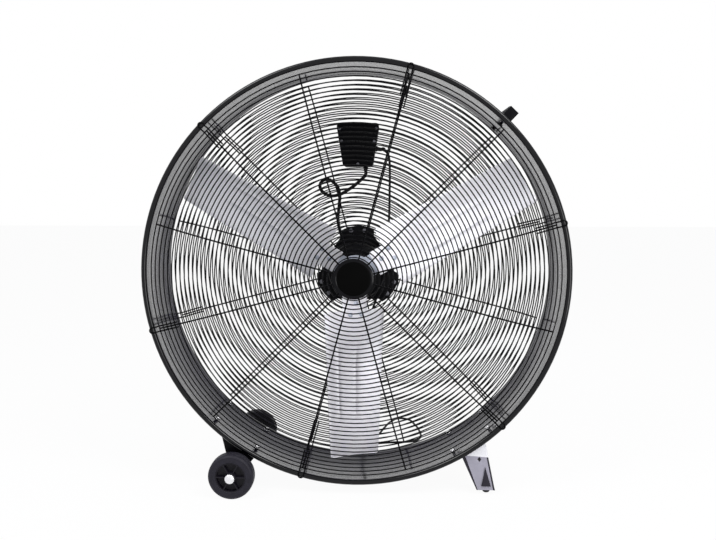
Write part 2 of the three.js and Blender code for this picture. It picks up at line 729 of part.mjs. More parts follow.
place('motor_front_shield', motorFrontShield(), motorBlack);
place('motor_body', motorBody(), motorBlack);
place('motor_rear_shield', motorRearShield(), motorBlack);
place('motor_shaft', bar(SHAFT_RADIUS, shaftEnd, rearShieldFront + MOTOR_REAR_LENGTH / 2 - RUNNING, 16), steel);
place('motor_gland', bar(GLAND_RADIUS, motorRear + SEAT, rearRingBack, 12)
  .translate(MOTOR_GLAND[0], 0, MOTOR_GLAND[1]), boxPlastic);

const ears = Array.from({ length: 3 }, (_, i) => 90 + i * 120);

/** Holes or studs on one ear, built along +X. */
const earSpots = [-STUD_SPREAD, STUD_SPREAD]
  .map((aside) => [Math.sqrt(studRadius ** 2 - aside ** 2), aside]);

/** Three-eared plate that carries the motor on the rear guard's spokes. */
function motorCradle() {
  const flare = 43;
  const outline = ears.flatMap((ear) => {
    const turn = (radial, across) => {
      const distance = Math.hypot(radial, across);
      return polar(distance, ear + Math.atan2(across, radial) * 180 / Math.PI);
    };
    const half = EAR_WIDTH / 2;
    return [
      polar(CRADLE_BODY, ear - flare), turn(earReach - 12, -half), turn(earReach - 3, -half),
      turn(earReach, 4 - half), turn(earReach, half - 4), turn(earReach - 3, half),
      turn(earReach - 12, half), polar(CRADLE_BODY, ear + flare),
    ];
  });
  const holes = ears.flatMap((ear) => earSpots.map(([radial, aside]) =>
    turned(bar(STUD_RADIUS + SEAT, cradleFront - 2, cradleRear + 2, 8).translate(radial, 0, aside), ear)));
  return cut(panel(outline, cradleFront, CRADLE_SHEET),
    bar(CRADLE_BORE, cradleFront - 2, cradleRear + 2, 16), ...holes);
}

/** Clamp bar behind the guard with two studs and their nuts in front of the cradle. */
function cradleClamp() {
  const back = rearRingBack + SEAT;
  const bottom = studRadius - CLAMP_LENGTH / 2;
  const studs = earSpots.flatMap(([radial, aside]) => [
    bar(STUD_RADIUS, cradleFront - SEAT - 6, back + 1, 8).translate(radial, 0, aside),
    bar(STUD_RADIUS * 1.7, cradleFront - SEAT - 5, cradleFront - SEAT, 6).translate(radial, 0, aside),
  ]);
  return join(block(CLAMP_LENGTH, CLAMP_SHEET, CLAMP_WIDTH,
    bottom + CLAMP_LENGTH / 2, back + CLAMP_SHEET / 2, 0), ...studs);
}

place('motor_cradle', motorCradle(), motorBlack);
ears.forEach((ear, i) => place(`cradle_clamp_${i + 1}`, cradleClamp(), zinc, ear));

// ---------------------------------------------------------------- wheels and axle

function wheelHub() {
  const half = TYRE_WIDTH / 2 - 1;
  const rimInside = TYRE_BORE - HUB_RIM;
  const web = WHEEL_WEB / 2;
  const boss = WHEEL_BOSS_LENGTH / 2;
  const bore = AXLE_RADIUS + SEAT;
  const body = revolve([
    [bore, -boss], [WHEEL_BOSS_RADIUS, -boss], [WHEEL_BOSS_RADIUS, -web], [rimInside, -web],
    [rimInside, -half], [TYRE_BORE, -half], [TYRE_BORE, half], [rimInside, half],
    [rimInside, web], [WHEEL_BOSS_RADIUS, web], [WHEEL_BOSS_RADIUS, boss], [bore, boss],
  ], WHEEL_SEGMENTS);
  const inner = WHEEL_BOSS_RADIUS - 2;
  const outer = rimInside + 2;
  const rib = block(outer - inner, half - web, 3, (inner + outer) / 2, -(half + web) / 2 + 1, 0);
  const ribs = Array.from({ length: WHEEL_RIBS }, (_, i) => turned(rib, i * 360 / WHEEL_RIBS));
  return join(body, ...ribs);
}

function tyre() {
  const bore = TYRE_BORE + SEAT;
  const half = TYRE_WIDTH / 2;
  const r = WHEEL_RADIUS;
  return revolve([
    [bore, 1 - half], [r - 8, -half], [r - 2, 3 - half], [r, 9 - half],
    [r, half - 9], [r - 2, half - 3], [r - 8, half], [bore, half - 1],
  ], WHEEL_SEGMENTS);
}

const axleOverhang = WHEEL_BOSS_LENGTH / 2 + 6;

/** Push-on cap that covers the axle end, opening towards +Y. */
function axleCap() {
  const face = -WHEEL_BOSS_LENGTH / 2 - RUNNING;
  const seat = -axleOverhang - SEAT;
  return revolve([
    [0, face - CAP_LENGTH], [CAP_RADIUS * 0.6, face - CAP_LENGTH + 1], [CAP_RADIUS, face - CAP_LENGTH + 5],
    [CAP_RADIUS, face], [AXLE_RADIUS + SEAT, face], [AXLE_RADIUS + SEAT, seat], [0, seat],
  ], 16);
}

const wheels = [
  { side: 'front', depth: FRONT_WHEEL_DEPTH, facing: 1 },
  { side: 'rear', depth: REAR_WHEEL_DEPTH, facing: -1 },
];
for (const { side, depth, facing } of wheels) {
  const seat = (geometry) => weld(geometry.scale(1, facing, 1).translate(WHEEL_X, depth, wheelHeight));
  place(`wheel_hub_${side}`, seat(wheelHub()), wheelPlastic);
  place(`tyre_${side}`, seat(tyre()), tyreRubber);
  place(`axle_cap_${side}`, seat(axleCap()), zinc);
}
place('axle', bar(AXLE_RADIUS, FRONT_WHEEL_DEPTH - axleOverhang, REAR_WHEEL_DEPTH + axleOverhang, 16)
  .translate(WHEEL_X, 0, wheelHeight), steel);

// ---------------------------------------------------------------- brackets

const drumSpace = bar(seatRadius, -60, DRUM_DEPTH + 60, DRUM_SEGMENTS);

/** Curved sheet that lies on the outside of the drum wall. */
function saddle(angle, span) {
  const from = angle - span / 2;
  const to = angle + span / 2;
  const outline = [...drumArc(seatRadius, from, to), ...drumArc(seatRadius + BRACKET_SHEET, from, to).reverse()];
  return panel(outline, bracketFront, bracketRear - bracketFront);
}

const cheekDepths = [bracketFront, bracketRear - BRACKET_SHEET];
const boltSet = (bolts) => bolts.map(([angle, depth]) => turned(wallBolt(depth), angle));

/** Two cheeks that reach from the drum to the axle, and the tube that it turns in. */
function axleBracket() {
  const lugFrom = AXLE_BRACKET_ANGLE - 80;
  const lug = Array.from({ length: 9 }, (_, i) => {
    const [x, z] = polar(AXLE_LUG_RADIUS, lugFrom + i * 20);
    return [WHEEL_X + x, wheelHeight + z];
  });
  const inside = seatRadius - 20;
  const cheek = [
    polar(inside, AXLE_BRACKET_ANGLE - AXLE_BRACKET_SPAN * 0.42), ...lug,
    polar(inside, AXLE_BRACKET_ANGLE + AXLE_BRACKET_SPAN * 0.42),
  ];
  const cheeks = cheekDepths.map((depth) => panel(cheek, depth, BRACKET_SHEET));
  const tubeFrom = FRONT_WHEEL_DEPTH + WHEEL_BOSS_LENGTH / 2 + RUNNING;
  const tubeTo = REAR_WHEEL_DEPTH - WHEEL_BOSS_LENGTH / 2 - RUNNING;
  const onAxle = (geometry) => geometry.translate(WHEEL_X, 0, wheelHeight);
  const sleeve = onAxle(bar(AXLE_TUBE_RADIUS, tubeFrom, tubeTo, 16));
  const bore = onAxle(bar(AXLE_RADIUS + SEAT, tubeFrom - 1, tubeTo + 1, 16));
  const body = cut(join(cheeks[0], cheeks[1], sleeve), drumSpace, bore);
  return join(saddle(AXLE_BRACKET_ANGLE, AXLE_BRACKET_SPAN), body, ...boltSet(axleBolts));
}

place('axle_bracket', axleBracket(), drumBlack);

const legBottom = floor + FOOT_HEIGHT;
const footDepths = [bracketFront + LEG_SHELF / 2 + 1, bracketRear - LEG_SHELF / 2 - 1];

/** A sheet edge folded back along a line from one XZ point to another. */
function flange(from, to, inward, front, depth) {
  const along = new THREE.Vector2(to[0] - from[0], to[1] - from[1]).normalize();
  const shift = [-along.y * inward, along.x * inward];
  const outline = [from, to, [to[0] + shift[0], to[1] + shift[1]], [from[0] + shift[0], from[1] + shift[1]]];
  return panel(outline, front, depth);
}

/** Pressed leg: flanged and ribbed panels front and rear, each with a shelf for its foot. */
function legBracket() {
  const inside = seatRadius - 25;
  const topLeft = polar(inside, LEG_ANGLE - LEG_TOP_SPAN / 2);
  const topRight = polar(inside, LEG_ANGLE + LEG_TOP_SPAN / 2);
  const bottomLeft = [LEG_BOTTOM_LEFT, legBottom];
  const bottomRight = [LEG_BOTTOM_RIGHT, legBottom];
  const outline = [bottomLeft, bottomRight, topRight, topLeft];
  const middle = (LEG_BOTTOM_LEFT + LEG_BOTTOM_RIGHT) / 2;
  const ribFoot = legBottom + RIB_FROM_BOTTOM;
  const rib = [
    [middle - RIB_LEAN, ribFoot + RIB_LENGTH], [middle - RIB_HALF_WIDTH, ribFoot],
    [middle + RIB_HALF_WIDTH, ribFoot],
  ];
  const diamondX = middle - DIAMOND_ASIDE;
  const diamondZ = legBottom + DIAMOND_RISE;
  const diamond = [
    [diamondX - DIAMOND_WIDTH / 2, diamondZ], [diamondX, diamondZ - DIAMOND_HEIGHT / 2],
    [diamondX + DIAMOND_WIDTH / 2, diamondZ], [diamondX, diamondZ + DIAMOND_HEIGHT / 2],
  ];
  const sides = [1, -1].map((facing, i) => {
    const face = cheekDepths[i];
    const fold = (depth) => (facing > 0 ? face : face + BRACKET_SHEET - depth);
    const ribFront = facing > 0 ? face - RIB_RISE : face + BRACKET_SHEET - 1;
    const shelf = block(LEG_BOTTOM_RIGHT - LEG_BOTTOM_LEFT, LEG_SHELF, BRACKET_SHEET, middle,
      fold(LEG_SHELF) + LEG_SHELF / 2, legBottom + BRACKET_SHEET / 2);
    const neck = bar(FOOT_NECK + SEAT, -5, 15, 12).rotateX(Math.PI / 2)
      .translate(footX, footDepths[i], legBottom);
    const pressed = join(
      panel(outline, face, BRACKET_SHEET),
      flange(bottomLeft, topLeft, -BRACKET_SHEET, fold(LEG_FLANGE), LEG_FLANGE),
      flange(bottomRight, topRight, BRACKET_SHEET, fold(LEG_FLANGE), LEG_FLANGE),
      panel(rib, ribFront, RIB_RISE + 1), shelf,
    );
    return cut(pressed, drumSpace, neck, panel(diamond, face - 20, 40));
  });
  return join(saddle(LEG_ANGLE, LEG_SPAN), ...sides, ...boltSet(legBolts));
}

/** Push-in rubber foot, flat underneath. */
function rubberFoot(depth) {
  const top = legBottom - SEAT;
  const lip = legBottom + BRACKET_SHEET + SEAT;
  const profile = [
    [0, floor], [6, floor], [FOOT_RADIUS - 1.5, floor + 3], [FOOT_RADIUS, floor + 7], [FOOT_RADIUS, top],
    [FOOT_NECK, top], [FOOT_NECK, lip], [FOOT_NECK + 2, lip], [FOOT_NECK - 1, lip + 6], [0, lip + 6],
  ];
  return weld(revolve(profile, 12).rotateX(Math.PI / 2).translate(footX, depth, 0));
}

place('leg_bracket', legBracket(), legPaint);
place('foot_front', rubberFoot(footDepths[0]), footRubber);
place('foot_rear', rubberFoot(footDepths[1]), footRubber);

// ---------------------------------------------------------------- handle

const gripMiddle = DRUM_DEPTH / 2;

function handleBar() {
  const t = HANDLE_SHEET;
  const near = HANDLE_INSET;
  const far = DRUM_DEPTH - HANDLE_INSET;
  const reach = handleReach;
  const profile = [
    [seatRadius, near + HANDLE_FOOT], [seatRadius, near], [reach, near], [reach, far], [seatRadius, far],
    [seatRadius, far - HANDLE_FOOT], [seatRadius + t, far - HANDLE_FOOT], [seatRadius + t, far - t],
    [reach - t, far - t], [reach - t, near + t], [seatRadius + t, near + t], [seatRadius + t, near + HANDLE_FOOT],
  ];
  return join(strip(profile, HANDLE_WIDTH), ...handleBolts.map(([, depth]) => wallBolt(depth)));
}

function handleGrip() {
  const middle = handleReach - HANDLE_SHEET / 2;
  const rectangle = (width, height) => [
    [middle - height / 2, -width / 2], [middle + height / 2, -width / 2],
    [middle + height / 2, width / 2], [middle - height / 2, width / 2],
  ];
  const front = gripMiddle - GRIP_LENGTH / 2;
  const sleeve = panel(roundedOutline(rectangle(GRIP_WIDTH, GRIP_HEIGHT), 6), front, GRIP_LENGTH);
  const slot = rectangle(HANDLE_WIDTH + 2 * SEAT, HANDLE_SHEET + 2 * SEAT);
  return cut(sleeve, panel(slot, front - 1, GRIP_LENGTH + 2));
}

place('handle_bar', handleBar(), drumBlack, HANDLE_ANGLE);
place('handle_grip', handleGrip(), gripPlastic, HANDLE_ANGLE);

// ---------------------------------------------------------------- switch box

const boxCorners = [
  [-BOX_BOTTOM_WIDTH / 2, boxBottom], [BOX_BOTTOM_WIDTH / 2, boxBottom],
  [BOX_TOP_WIDTH / 2, boxBottom + boxHeight], [-BOX_TOP_WIDTH / 2, boxBottom + boxHeight],
];
const boxOutline = roundedOutline(boxCorners, BOX_CORNER);

/** Screw places on the face of the box, each between two guard rings. */
const boxScrews = BOX_SCREWS.map((screw) => [screw[0], screwHeight(screw)]);
const knobHeight = boxBottom + boxHeight / 2;

function switchBox() {
  const holes = boxScrews.map(([x, z]) =>
    bar(SCREW_RADIUS + SEAT, boxFront - 1, boxFront + SCREW_LENGTH, 6).translate(x, 0, z));
  const stem = bar(KNOB_STEM + SEAT, boxRear - 12, boxRear + 1, 12).translate(0, 0, knobHeight);
  return cut(panel(boxOutline, boxFront, BOX_DEPTH), stem, ...holes);
}

/** Keystone plate in front of the guard, screwed through the guard to the box. */
function boxPlate() {
  const back = rearRingFront - SEAT;
  const front = back - BOX_SHEET;
  const screws = boxScrews.flatMap(([x, z]) => [
    bar(SCREW_RADIUS, front - 1, boxFront + SCREW_LENGTH - 3, 6).translate(x, 0, z),
    bar(SCREW_RADIUS * 2, front - 2.5, front + 1, 6).translate(x, 0, z),
  ]);
  return join(panel(boxOutline, front, BOX_SHEET), ...screws);
}

function boxLid() {
  const hole = bar(KNOB_STEM + SEAT, boxRear, lidRear + 1, 12).translate(0, 0, knobHeight);
  return cut(panel(boxOutline, boxRear + SEAT, BOX_SHEET), hole);
}

/** Rotary switch knob with a finger ridge and a stem that enters the box. */
function speedKnob() {
  const face = lidRear + RUNNING;
  const skirt = revolve([
    [0, boxRear - 8], [KNOB_STEM, boxRear - 8], [KNOB_STEM, face], [KNOB_RADIUS, face],
    [KNOB_RADIUS - 2, face + 5], [0, face + 5],
  ], 24);
  const ridge = block(6, KNOB_HEIGHT - 4, KNOB_RADIUS * 1.6, 0, face + 4 + (KNOB_HEIGHT - 4) / 2, 0);
  return join(skirt, ridge).translate(0, 0, knobHeight);
}

/** A cable gland: hexagon collar and round nose, along +Y from its seat. */
function gland() {
  return join(bar(GLAND_RADIUS, 0, GLAND_LENGTH / 2, 6),
    bar(GLAND_RADIUS * 0.75, GLAND_LENGTH / 4, GLAND_LENGTH, 12));
}

place('switch_box', switchBox(), boxPlastic);
place('box_plate', boxPlate(), boxPlastic);
place('box_lid', boxLid(), boxPlastic);
place('speed_knob', speedKnob(), knobPlastic);

// The cord leaves square to the box's slanted right side, the motor lead through its floor.
const cordGlandZ = boxBottom + CORD_GLAND_RISE;
const cordGlandX = BOX_BOTTOM_WIDTH / 2 + CORD_GLAND_RISE * Math.tan(boxSlope);
const cordWay = [Math.cos(boxSlope), -Math.sin(boxSlope)];
const cordStart = (distance) =>
  [cordGlandX + cordWay[0] * distance, boxMiddle, cordGlandZ + cordWay[1] * distance];

place('cord_gland', weld(gland().translate(0, SEAT, 0).rotateZ(-Math.PI / 2).rotateY(boxSlope)
  .translate(cordGlandX, boxMiddle, cordGlandZ)), boxPlastic);
place('lead_gland', weld(gland().translate(0, SEAT, 0).rotateX(-Math.PI / 2)
  .translate(LEAD_GLAND_X, boxMiddle, boxBottom)), boxPlastic);

// ---------------------------------------------------------------- motor lead and power cord

const leadTop = boxBottom - GLAND_LENGTH - 2 * SEAT;
const leadEnd = rearRingBack + SEAT;
const leadRoute = [
  [LEAD_GLAND_X, boxMiddle, leadTop], [LEAD_GLAND_X, boxMiddle, leadTop - 12],
  [6, 261, 262], [-30, 257, 234], [-62, 253, 218], [-90, 252, 218], [-112, 254, 235], [-113, 258, 254],
  [-95, 262, 265], [-72, 267, 254], [-58, 270, 228], [-58, 270, 190], [-62, 267, 144], [-54, 262, 106],
  [-38, 258, 64], [-26, 254, 32], [MOTOR_GLAND[0], leadEnd + 10, MOTOR_GLAND[1]],
  [MOTOR_GLAND[0], leadEnd, MOTOR_GLAND[1]],
];
place('motor_lead', tube(route(leadRoute), LEAD_RADIUS, 6, 32), cordPvc);

const lying = floor + CORD_RADIUS + FLOOR_SKIN;
const coilRear = COIL_CENTRE[1] + COIL_RADIUS;
const cordRoute = [
  cordStart(GLAND_LENGTH + 2 * SEAT), cordStart(GLAND_LENGTH + 2 * SEAT + 2 * CORD_RADIUS),
  [80.6, 265.5, 348.4], [89, 266, 338.5], [92.8, 267, 322], [94.3, 268, 290], [94.2, 269.5, 240],
  [92.5, 272, 144], [85, 278, 50], [66, 290, -60], [32, 308, -175], [10, 330, -300],
  [2, 358, -420], [6, 390, -520], [17, 412, lying + 21], [29, 424, lying + 8],
  [42, 438, lying + 2], [58, 460, lying + 0.3], [80, 530, lying], [105, 600, lying],
  [133, 634, lying], [163, 626, lying], [188, 568, lying],
  [203, 490, lying], [202, 440, lying], [185, 408, lying], [153, 395, lying], [105, 388, lying],
  [57, 376, lying], [22, 359, lying], [-4, 346.5, lying], [COIL_CENTRE[0] + 12, coilRear, lying],
  [COIL_CENTRE[0] + CORD_RADIUS * 2 + SEAT, coilRear, lying],
];
place('power_cord', tube(route(cordRoute), CORD_RADIUS, 6, 66), cordPvc);

/** Centre line of the loops that lie on the floor: in on one layer and out on the next. */
function coilPoints(stepsPerTurn) {
  const climb = COIL_LAYER_GAP + 2 * CORD_RADIUS;
  const steps = (2 * COIL_TURNS + 0.5) * stepsPerTurn;
  const points = [];
  for (let i = 0; i <= steps; i++) {
    const turns = i / stepsPerTurn;
    const reversal = COIL_TURNS + 0.25;
    const radius = COIL_RADIUS - COIL_PITCH * (reversal - Math.abs(turns - reversal));
    const layer = THREE.MathUtils.clamp((turns - COIL_TURNS) / 0.5, 0, 1);
    const a = Math.PI / 2 + turns * 2 * Math.PI;
    points.push(new THREE.Vector3(COIL_CENTRE[0] + radius * Math.cos(a),
      COIL_CENTRE[1] + radius * Math.sin(a), lying + climb * layer));
  }
  return points;
}

/** Least gap between turns of the coil, measured on a fine copy of its centre line. */
function coilSelfGap() {
  const points = coilPoints(72);
  let least = Infinity;
  for (let i = 0; i < points.length; i++) {
    for (let j = i + 36; j < points.length; j++) {
      least = Math.min(least, points[i].distanceTo(points[j]));
    }
  }
  return least - 2 * CORD_RADIUS;
}

/** The coil with the straight ends that meet the cord and the plug. */
function cordCoil() {
  const turns = coilPoints(24);
  const start = turns[0].clone().add(new THREE.Vector3(2 * CORD_RADIUS, 0, 0));
  const end = turns[turns.length - 1].clone().add(new THREE.Vector3(COIL_TAIL, 0, 0));
  return pathTube([start, ...turns, end], CORD_RADIUS, 6, new THREE.Vector3(0, 0, 1));
}

console.log(`least gap between turns of the coil: ${coilSelfGap().toFixed(2)} mm`);
place('cord_coil', cordCoil(), cordPvc);

/** Moulded plug on the end of the coil, two flat pins and a round one. */
function cordPlug() {
  const coilEnd = coilPoints(24).pop();
  const height = 2 * (coilEnd.z - floor - FLOOR_SKIN);
  const half = height / 2;
  const neck = 12;
  const relief = bar(CORD_RADIUS * 1.6, 0, neck + 2, 12).rotateZ(-Math.PI / 2);
  const outline = [[neck, -half * 0.7], [neck + 10, -half], [neck + PLUG_LENGTH, -half],
    [neck + PLUG_LENGTH, half], [neck + 10, half], [neck, half * 0.7]];
  const body = panel(outline, -PLUG_WIDTH / 2, PLUG_WIDTH);
  const reach = neck + PLUG_LENGTH + PLUG_PIN / 2;
  const flats = [-6.5, 6.5].map((aside) => block(PLUG_PIN + 2, 1.6, 6.4, reach - 1, aside, 3));
  const round = bar(2.4, 0, PLUG_PIN + 4, 8).rotateZ(-Math.PI / 2).translate(neck + PLUG_LENGTH - 2, 0, -6);
  return weld(join(body, relief, ...flats, round)
    .translate(coilEnd.x + COIL_TAIL + SEAT, coilEnd.y, coilEnd.z));
}

place('cord_plug', cordPlug(), cordPvc);

export default drumFan;
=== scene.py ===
"""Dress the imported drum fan: drum, wire guards, blades, motor, wheels, leg, handle and cords.

Sizes are fan millimetres: origin on the fan's axis in the plane of the front bead, +X right, +Y to
the rear and +Z up. at() turns them into the metres of the row frame, in which every piece is built.
"""

import logging
import math
from collections.abc import Sequence
from dataclasses import dataclass, replace
from enum import Enum

import bpy
from mathutils import Matrix, Vector

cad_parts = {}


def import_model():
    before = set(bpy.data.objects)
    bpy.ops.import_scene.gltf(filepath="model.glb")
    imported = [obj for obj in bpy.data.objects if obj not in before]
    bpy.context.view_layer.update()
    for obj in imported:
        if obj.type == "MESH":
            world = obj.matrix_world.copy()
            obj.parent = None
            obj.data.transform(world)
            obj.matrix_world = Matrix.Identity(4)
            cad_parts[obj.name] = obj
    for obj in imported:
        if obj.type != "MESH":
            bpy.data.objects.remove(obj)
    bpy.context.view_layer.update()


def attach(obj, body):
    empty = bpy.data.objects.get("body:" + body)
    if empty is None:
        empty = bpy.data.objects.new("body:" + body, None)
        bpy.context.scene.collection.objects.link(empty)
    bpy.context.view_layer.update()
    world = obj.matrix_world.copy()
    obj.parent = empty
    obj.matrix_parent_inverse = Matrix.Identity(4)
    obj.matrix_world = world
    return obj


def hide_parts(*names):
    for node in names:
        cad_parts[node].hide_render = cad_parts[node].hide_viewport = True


LOG = logging.getLogger("drum_fan")
MM = 0.001
FRONT = Vector((0.0, -0.150, 0.602))  # the fan's origin in the row frame
BACK = Vector((0.0, MM, 0.0))  # one millimetre to the rear
UP = Vector((0.0, 0.0, 1.0))
QUARTER = math.pi / 2
WHITE = (1.0, 1.0, 1.0, 1.0)

Piece = bpy.types.Object
Tree = bpy.types.NodeTree
Node = bpy.types.Node
Socket = bpy.types.NodeSocket
Pair = tuple[float, float]
Triple = tuple[float, float, float]
Plane = tuple[Vector, Vector]
Inputs = dict[str | int, object]


class Side(Enum):
    """An end of the fan."""

    FRONT = "front"
    REAR = "rear"


class Fill(Enum):
    """What an outline is filled with."""

    NOTHING = "NOTHING"
    FACE = "NGON"


class LegPaintAndLight(Enum):
    """The material slots of the leg: its grey paint, a painted highlight and painted shade."""

    GREY = 0
    BRIGHT = 1
    SHADE = 2


def at(x: float, y: float, z: float) -> Vector:
    """Turn fan millimetres into a point of the row frame, in metres."""
    return FRONT + Vector((x, y, z)) * MM


def depth_of(place: Vector) -> float:
    """Return how many millimetres a point of the row frame lies behind the front bead."""
    return (place.y - FRONT.y) / MM


def polar(radius: float, degrees: float) -> Pair:
    """Return the x and z of a radius at an angle on the fan's face, anticlockwise from +X."""
    return radius * math.cos(math.radians(degrees)), radius * math.sin(math.radians(degrees))


def about_front(turn: Matrix) -> Matrix:
    """Return a turn made about the fan's origin."""
    return Matrix.Translation(FRONT) @ turn @ Matrix.Translation(-FRONT)


def face_turn(degrees: float) -> Matrix:
    """Return the turn about the fan's axis that takes +X to an angle on the fan's face."""
    return about_front(Matrix.Rotation(-math.radians(degrees), 4, "Y"))


def smoothstep(value: float, low: float, high: float) -> float:
    """Return 0 below low, 1 above high, and an S-curve between them."""
    t = min(1.0, max(0.0, (value - low) / (high - low)))
    return t * t * (3 - 2 * t)


# ---------------------------------------------------------------- finishes


def feed(tree: Tree, node: Node, inputs: Inputs) -> None:
    """Set the inputs of a node.

    Args:
        tree: The tree that the node is in.
        node: The node.
        inputs: For each input, by name or number, its value or the output that feeds it.
    """
    for key, value in inputs.items():
        if isinstance(value, Socket):
            tree.links.new(value, node.inputs[key])
        else:
            node.inputs[key].default_value = value


def add_node(tree: Tree, kind: str, inputs: Inputs, operation: str = "") -> Node:
    """Add a node to a tree.

    Args:
        tree: The tree.
        kind: The node's type, without the word ShaderNode in front.
        inputs: What feed() gives to its inputs.
        operation: What a Math node does.

    Returns:
        The node.
    """
    node = tree.nodes.new(f"ShaderNode{kind}")
    if operation:
        node.operation = operation
    feed(tree, node, inputs)
    return node


class Grain(Enum):
    """How a finish is broken up: the stretch and scale of its noise and the depth of its bump."""

    ENAMEL = ((1.0, 1.0, 1.0), 260.0, 0.05)
    ROLLED = ((0.05, 1.0, 1.0), 520.0, 0.06)
    PLATED = ((1.0, 1.0, 1.0), 150.0, 0.10)
    MOULDED = ((1.0, 1.0, 1.0), 1500.0, 0.22)
    CAST = ((1.0, 1.0, 1.0), 700.0, 0.30)
    RUBBER = ((1.0, 1.0, 1.0), 900.0, 0.35)


@dataclass(frozen=True)
class Finish:
    """A procedural material for one of the record's slots.

    Attributes:
        slot: The record's material slot.
        colour: Linear base colour.
        roughness: Mean roughness.
        metallic: 1 for bare metal, 0 for paint and plastic.
        coat: Weight of a clear gloss layer.
        specular: Strength of the plain reflection.
        mottle: Share by which the colour drifts over the surface.
        patch: Noise scale of that drift, per metre.
        wander: How far the roughness drifts with it.
        grain: The fine structure.
        turn: Degrees by which the grain is turned on the fan's face.
    """

    slot: str
    colour: Triple
    roughness: float
    metallic: float = 0.0
    coat: float = 0.0
    specular: float = 0.5
    mottle: float = 0.12
    patch: float = 22.0
    wander: float = 0.08
    grain: Grain = Grain.ENAMEL
    turn: float = 0.0

    def material(self) -> bpy.types.Material:
        """Build the node tree, or find the one built before.

        Returns:
            The Blender material.
        """
        name = f"{self.slot}_{self.grain.name.lower()}_{self.turn:.0f}_{hash(self.colour) % 997}"
        found = bpy.data.materials.get(name)
        if found is not None:
            return found
        made = bpy.data.materials.new(name)
        made.use_nodes = True
        made.diffuse_color = (*self.colour, 1.0)
        tree = made.node_tree
        stretch, scale, relief = self.grain.value
        turn = (0.0, math.radians(self.turn), 0.0)
        place = add_node(tree, "TexCoord", {}).outputs["Object"]
        centred = self.mapped(tree, place, "Location", -FRONT)
        aligned = self.mapped(tree, centred, "Rotation", turn)
        stretched = self.mapped(tree, aligned, "Scale", stretch)
        drift = self.noise(tree, aligned, self.patch, 4.0)
        fine = self.noise(tree, stretched, scale, 2.0)
        bump = add_node(tree, "Bump", {"Height": fine, "Strength": relief, "Distance": 0.5 * MM})
        feed(tree, tree.nodes["Principled BSDF"], {
            "Metallic": self.metallic,
            "Specular IOR Level": self.specular,
            "Coat Weight": self.coat,
            "Coat Roughness": 0.08,
            "Base Color": self.tint(tree, drift),
            "Roughness": self.sheen(tree, drift, fine),
            "Normal": bump.outputs["Normal"],
        })
        return made

    def tint(self, tree: Tree, drift: Socket) -> Socket:
        """Return the base colour, darker and paler with the drift.

        Args:
            tree: The material's nodes.
            drift: The noise by which it drifts.

        Returns:
            The colour.
        """
        ramp = add_node(tree, "ValToRGB", {"Fac": drift})
        stops = ((0.3, 1.0 - self.mottle), (0.7, 1.0 + self.mottle))
        for stop, (place, share) in zip(ramp.color_ramp.elements, stops, strict=True):
            stop.position = place
            stop.color = (*(min(1.0, c * share) for c in self.colour), 1.0)
        return ramp.outputs["Color"]

    def sheen(self, tree: Tree, drift: Socket, fine: Socket) -> Socket:
        """Return the roughness, which wanders with the mean of the drift and the fine noise.

        Args:
            tree: The material's nodes.
            drift: The noise by which it drifts.
            fine: The fine noise.

        Returns:
            The roughness.
        """
        half = add_node(tree, "Math", {0: drift, 1: 0.5}, "MULTIPLY")
        both = add_node(tree, "Math", {0: fine, 1: 0.5, 2: half.outputs[0]}, "MULTIPLY_ADD")
        spread = add_node(tree, "MapRange", {
            "Value": both.outputs[0],
            "From Min": 0.25,
            "From Max": 0.75,
            "To Min": max(0.04, self.roughness - self.wander),
            "To Max": min(1.0, self.roughness + self.wander),
        })
        return spread.outputs["Result"]

    @staticmethod
    def mapped(tree: Tree, place: Socket, what: str, value: Sequence[float]) -> Socket:
        """Return a place that has been shifted, turned or stretched."""
        return add_node(tree, "Mapping", {"Vector": place, what: value}).outputs["Vector"]

    @staticmethod
    def noise(tree: Tree, place: Socket, scale: float, octaves: float) -> Socket:
        """Return a noise of so many cycles per metre at a place."""
        inputs = {"Vector": place, "Scale": scale, "Detail": octaves}
        return add_node(tree, "TexNoise", inputs).outputs["Fac"]


DRUM_BLACK = Finish("drum_black", (0.020, 0.018, 0.034), 0.18, coat=0.35, mottle=0.2, wander=0.05)
BEAD_BLACK = Finish("drum_black", (0.001, 0.001, 0.002), 0.11, specular=0.26, mottle=0.2,
                    wander=0.04)
BRACKET_BLACK = Finish("drum_black", (0.002, 0.002, 0.003), 0.30, specular=0.08, mottle=0.2)
RIM_BLACK = Finish("wire_black", (0.001, 0.001, 0.002), 0.16, specular=0.12, mottle=0.1,
                   wander=0.03)
DISC_BLACK = Finish("wire_black", (0.001, 0.001, 0.001), 0.40, specular=0.03, mottle=0.15)
WIRE_BLACK = Finish("wire_black", (0.001, 0.001, 0.0015), 0.30, specular=0.05, mottle=0.15)
BLADE_ALUMINIUM = Finish("blade_aluminium", (0.90, 0.89, 0.94), 0.40, metallic=0.6, mottle=0.03,
                         patch=9.0, grain=Grain.ROLLED)
RIVET_ALUMINIUM = Finish("blade_aluminium", (0.80, 0.80, 0.84), 0.34, metallic=0.6, mottle=0.05,
                         grain=Grain.PLATED)
HUB_ZINC = Finish("hub_zinc", (0.50, 0.53, 0.62), 0.38, metallic=0.9, patch=60.0,
                  grain=Grain.PLATED)
MOTOR_BLACK = Finish("motor_black", (0.002, 0.002, 0.003), 0.42, specular=0.08, mottle=0.2,
                     grain=Grain.CAST)
STEEL = Finish("steel", (0.56, 0.57, 0.58), 0.28, metallic=1.0, mottle=0.08, grain=Grain.PLATED)
ZINC = Finish("zinc", (0.86, 0.86, 0.88), 0.26, metallic=1.0, mottle=0.06, patch=120.0,
              grain=Grain.PLATED)
DULL_STEEL = Finish("zinc", (0.16, 0.16, 0.18), 0.42, metallic=0.9, mottle=0.15,
                    grain=Grain.PLATED)
LEG_PAINT = Finish("leg_paint", (0.30, 0.29, 0.35), 0.36, mottle=0.07, coat=0.2)
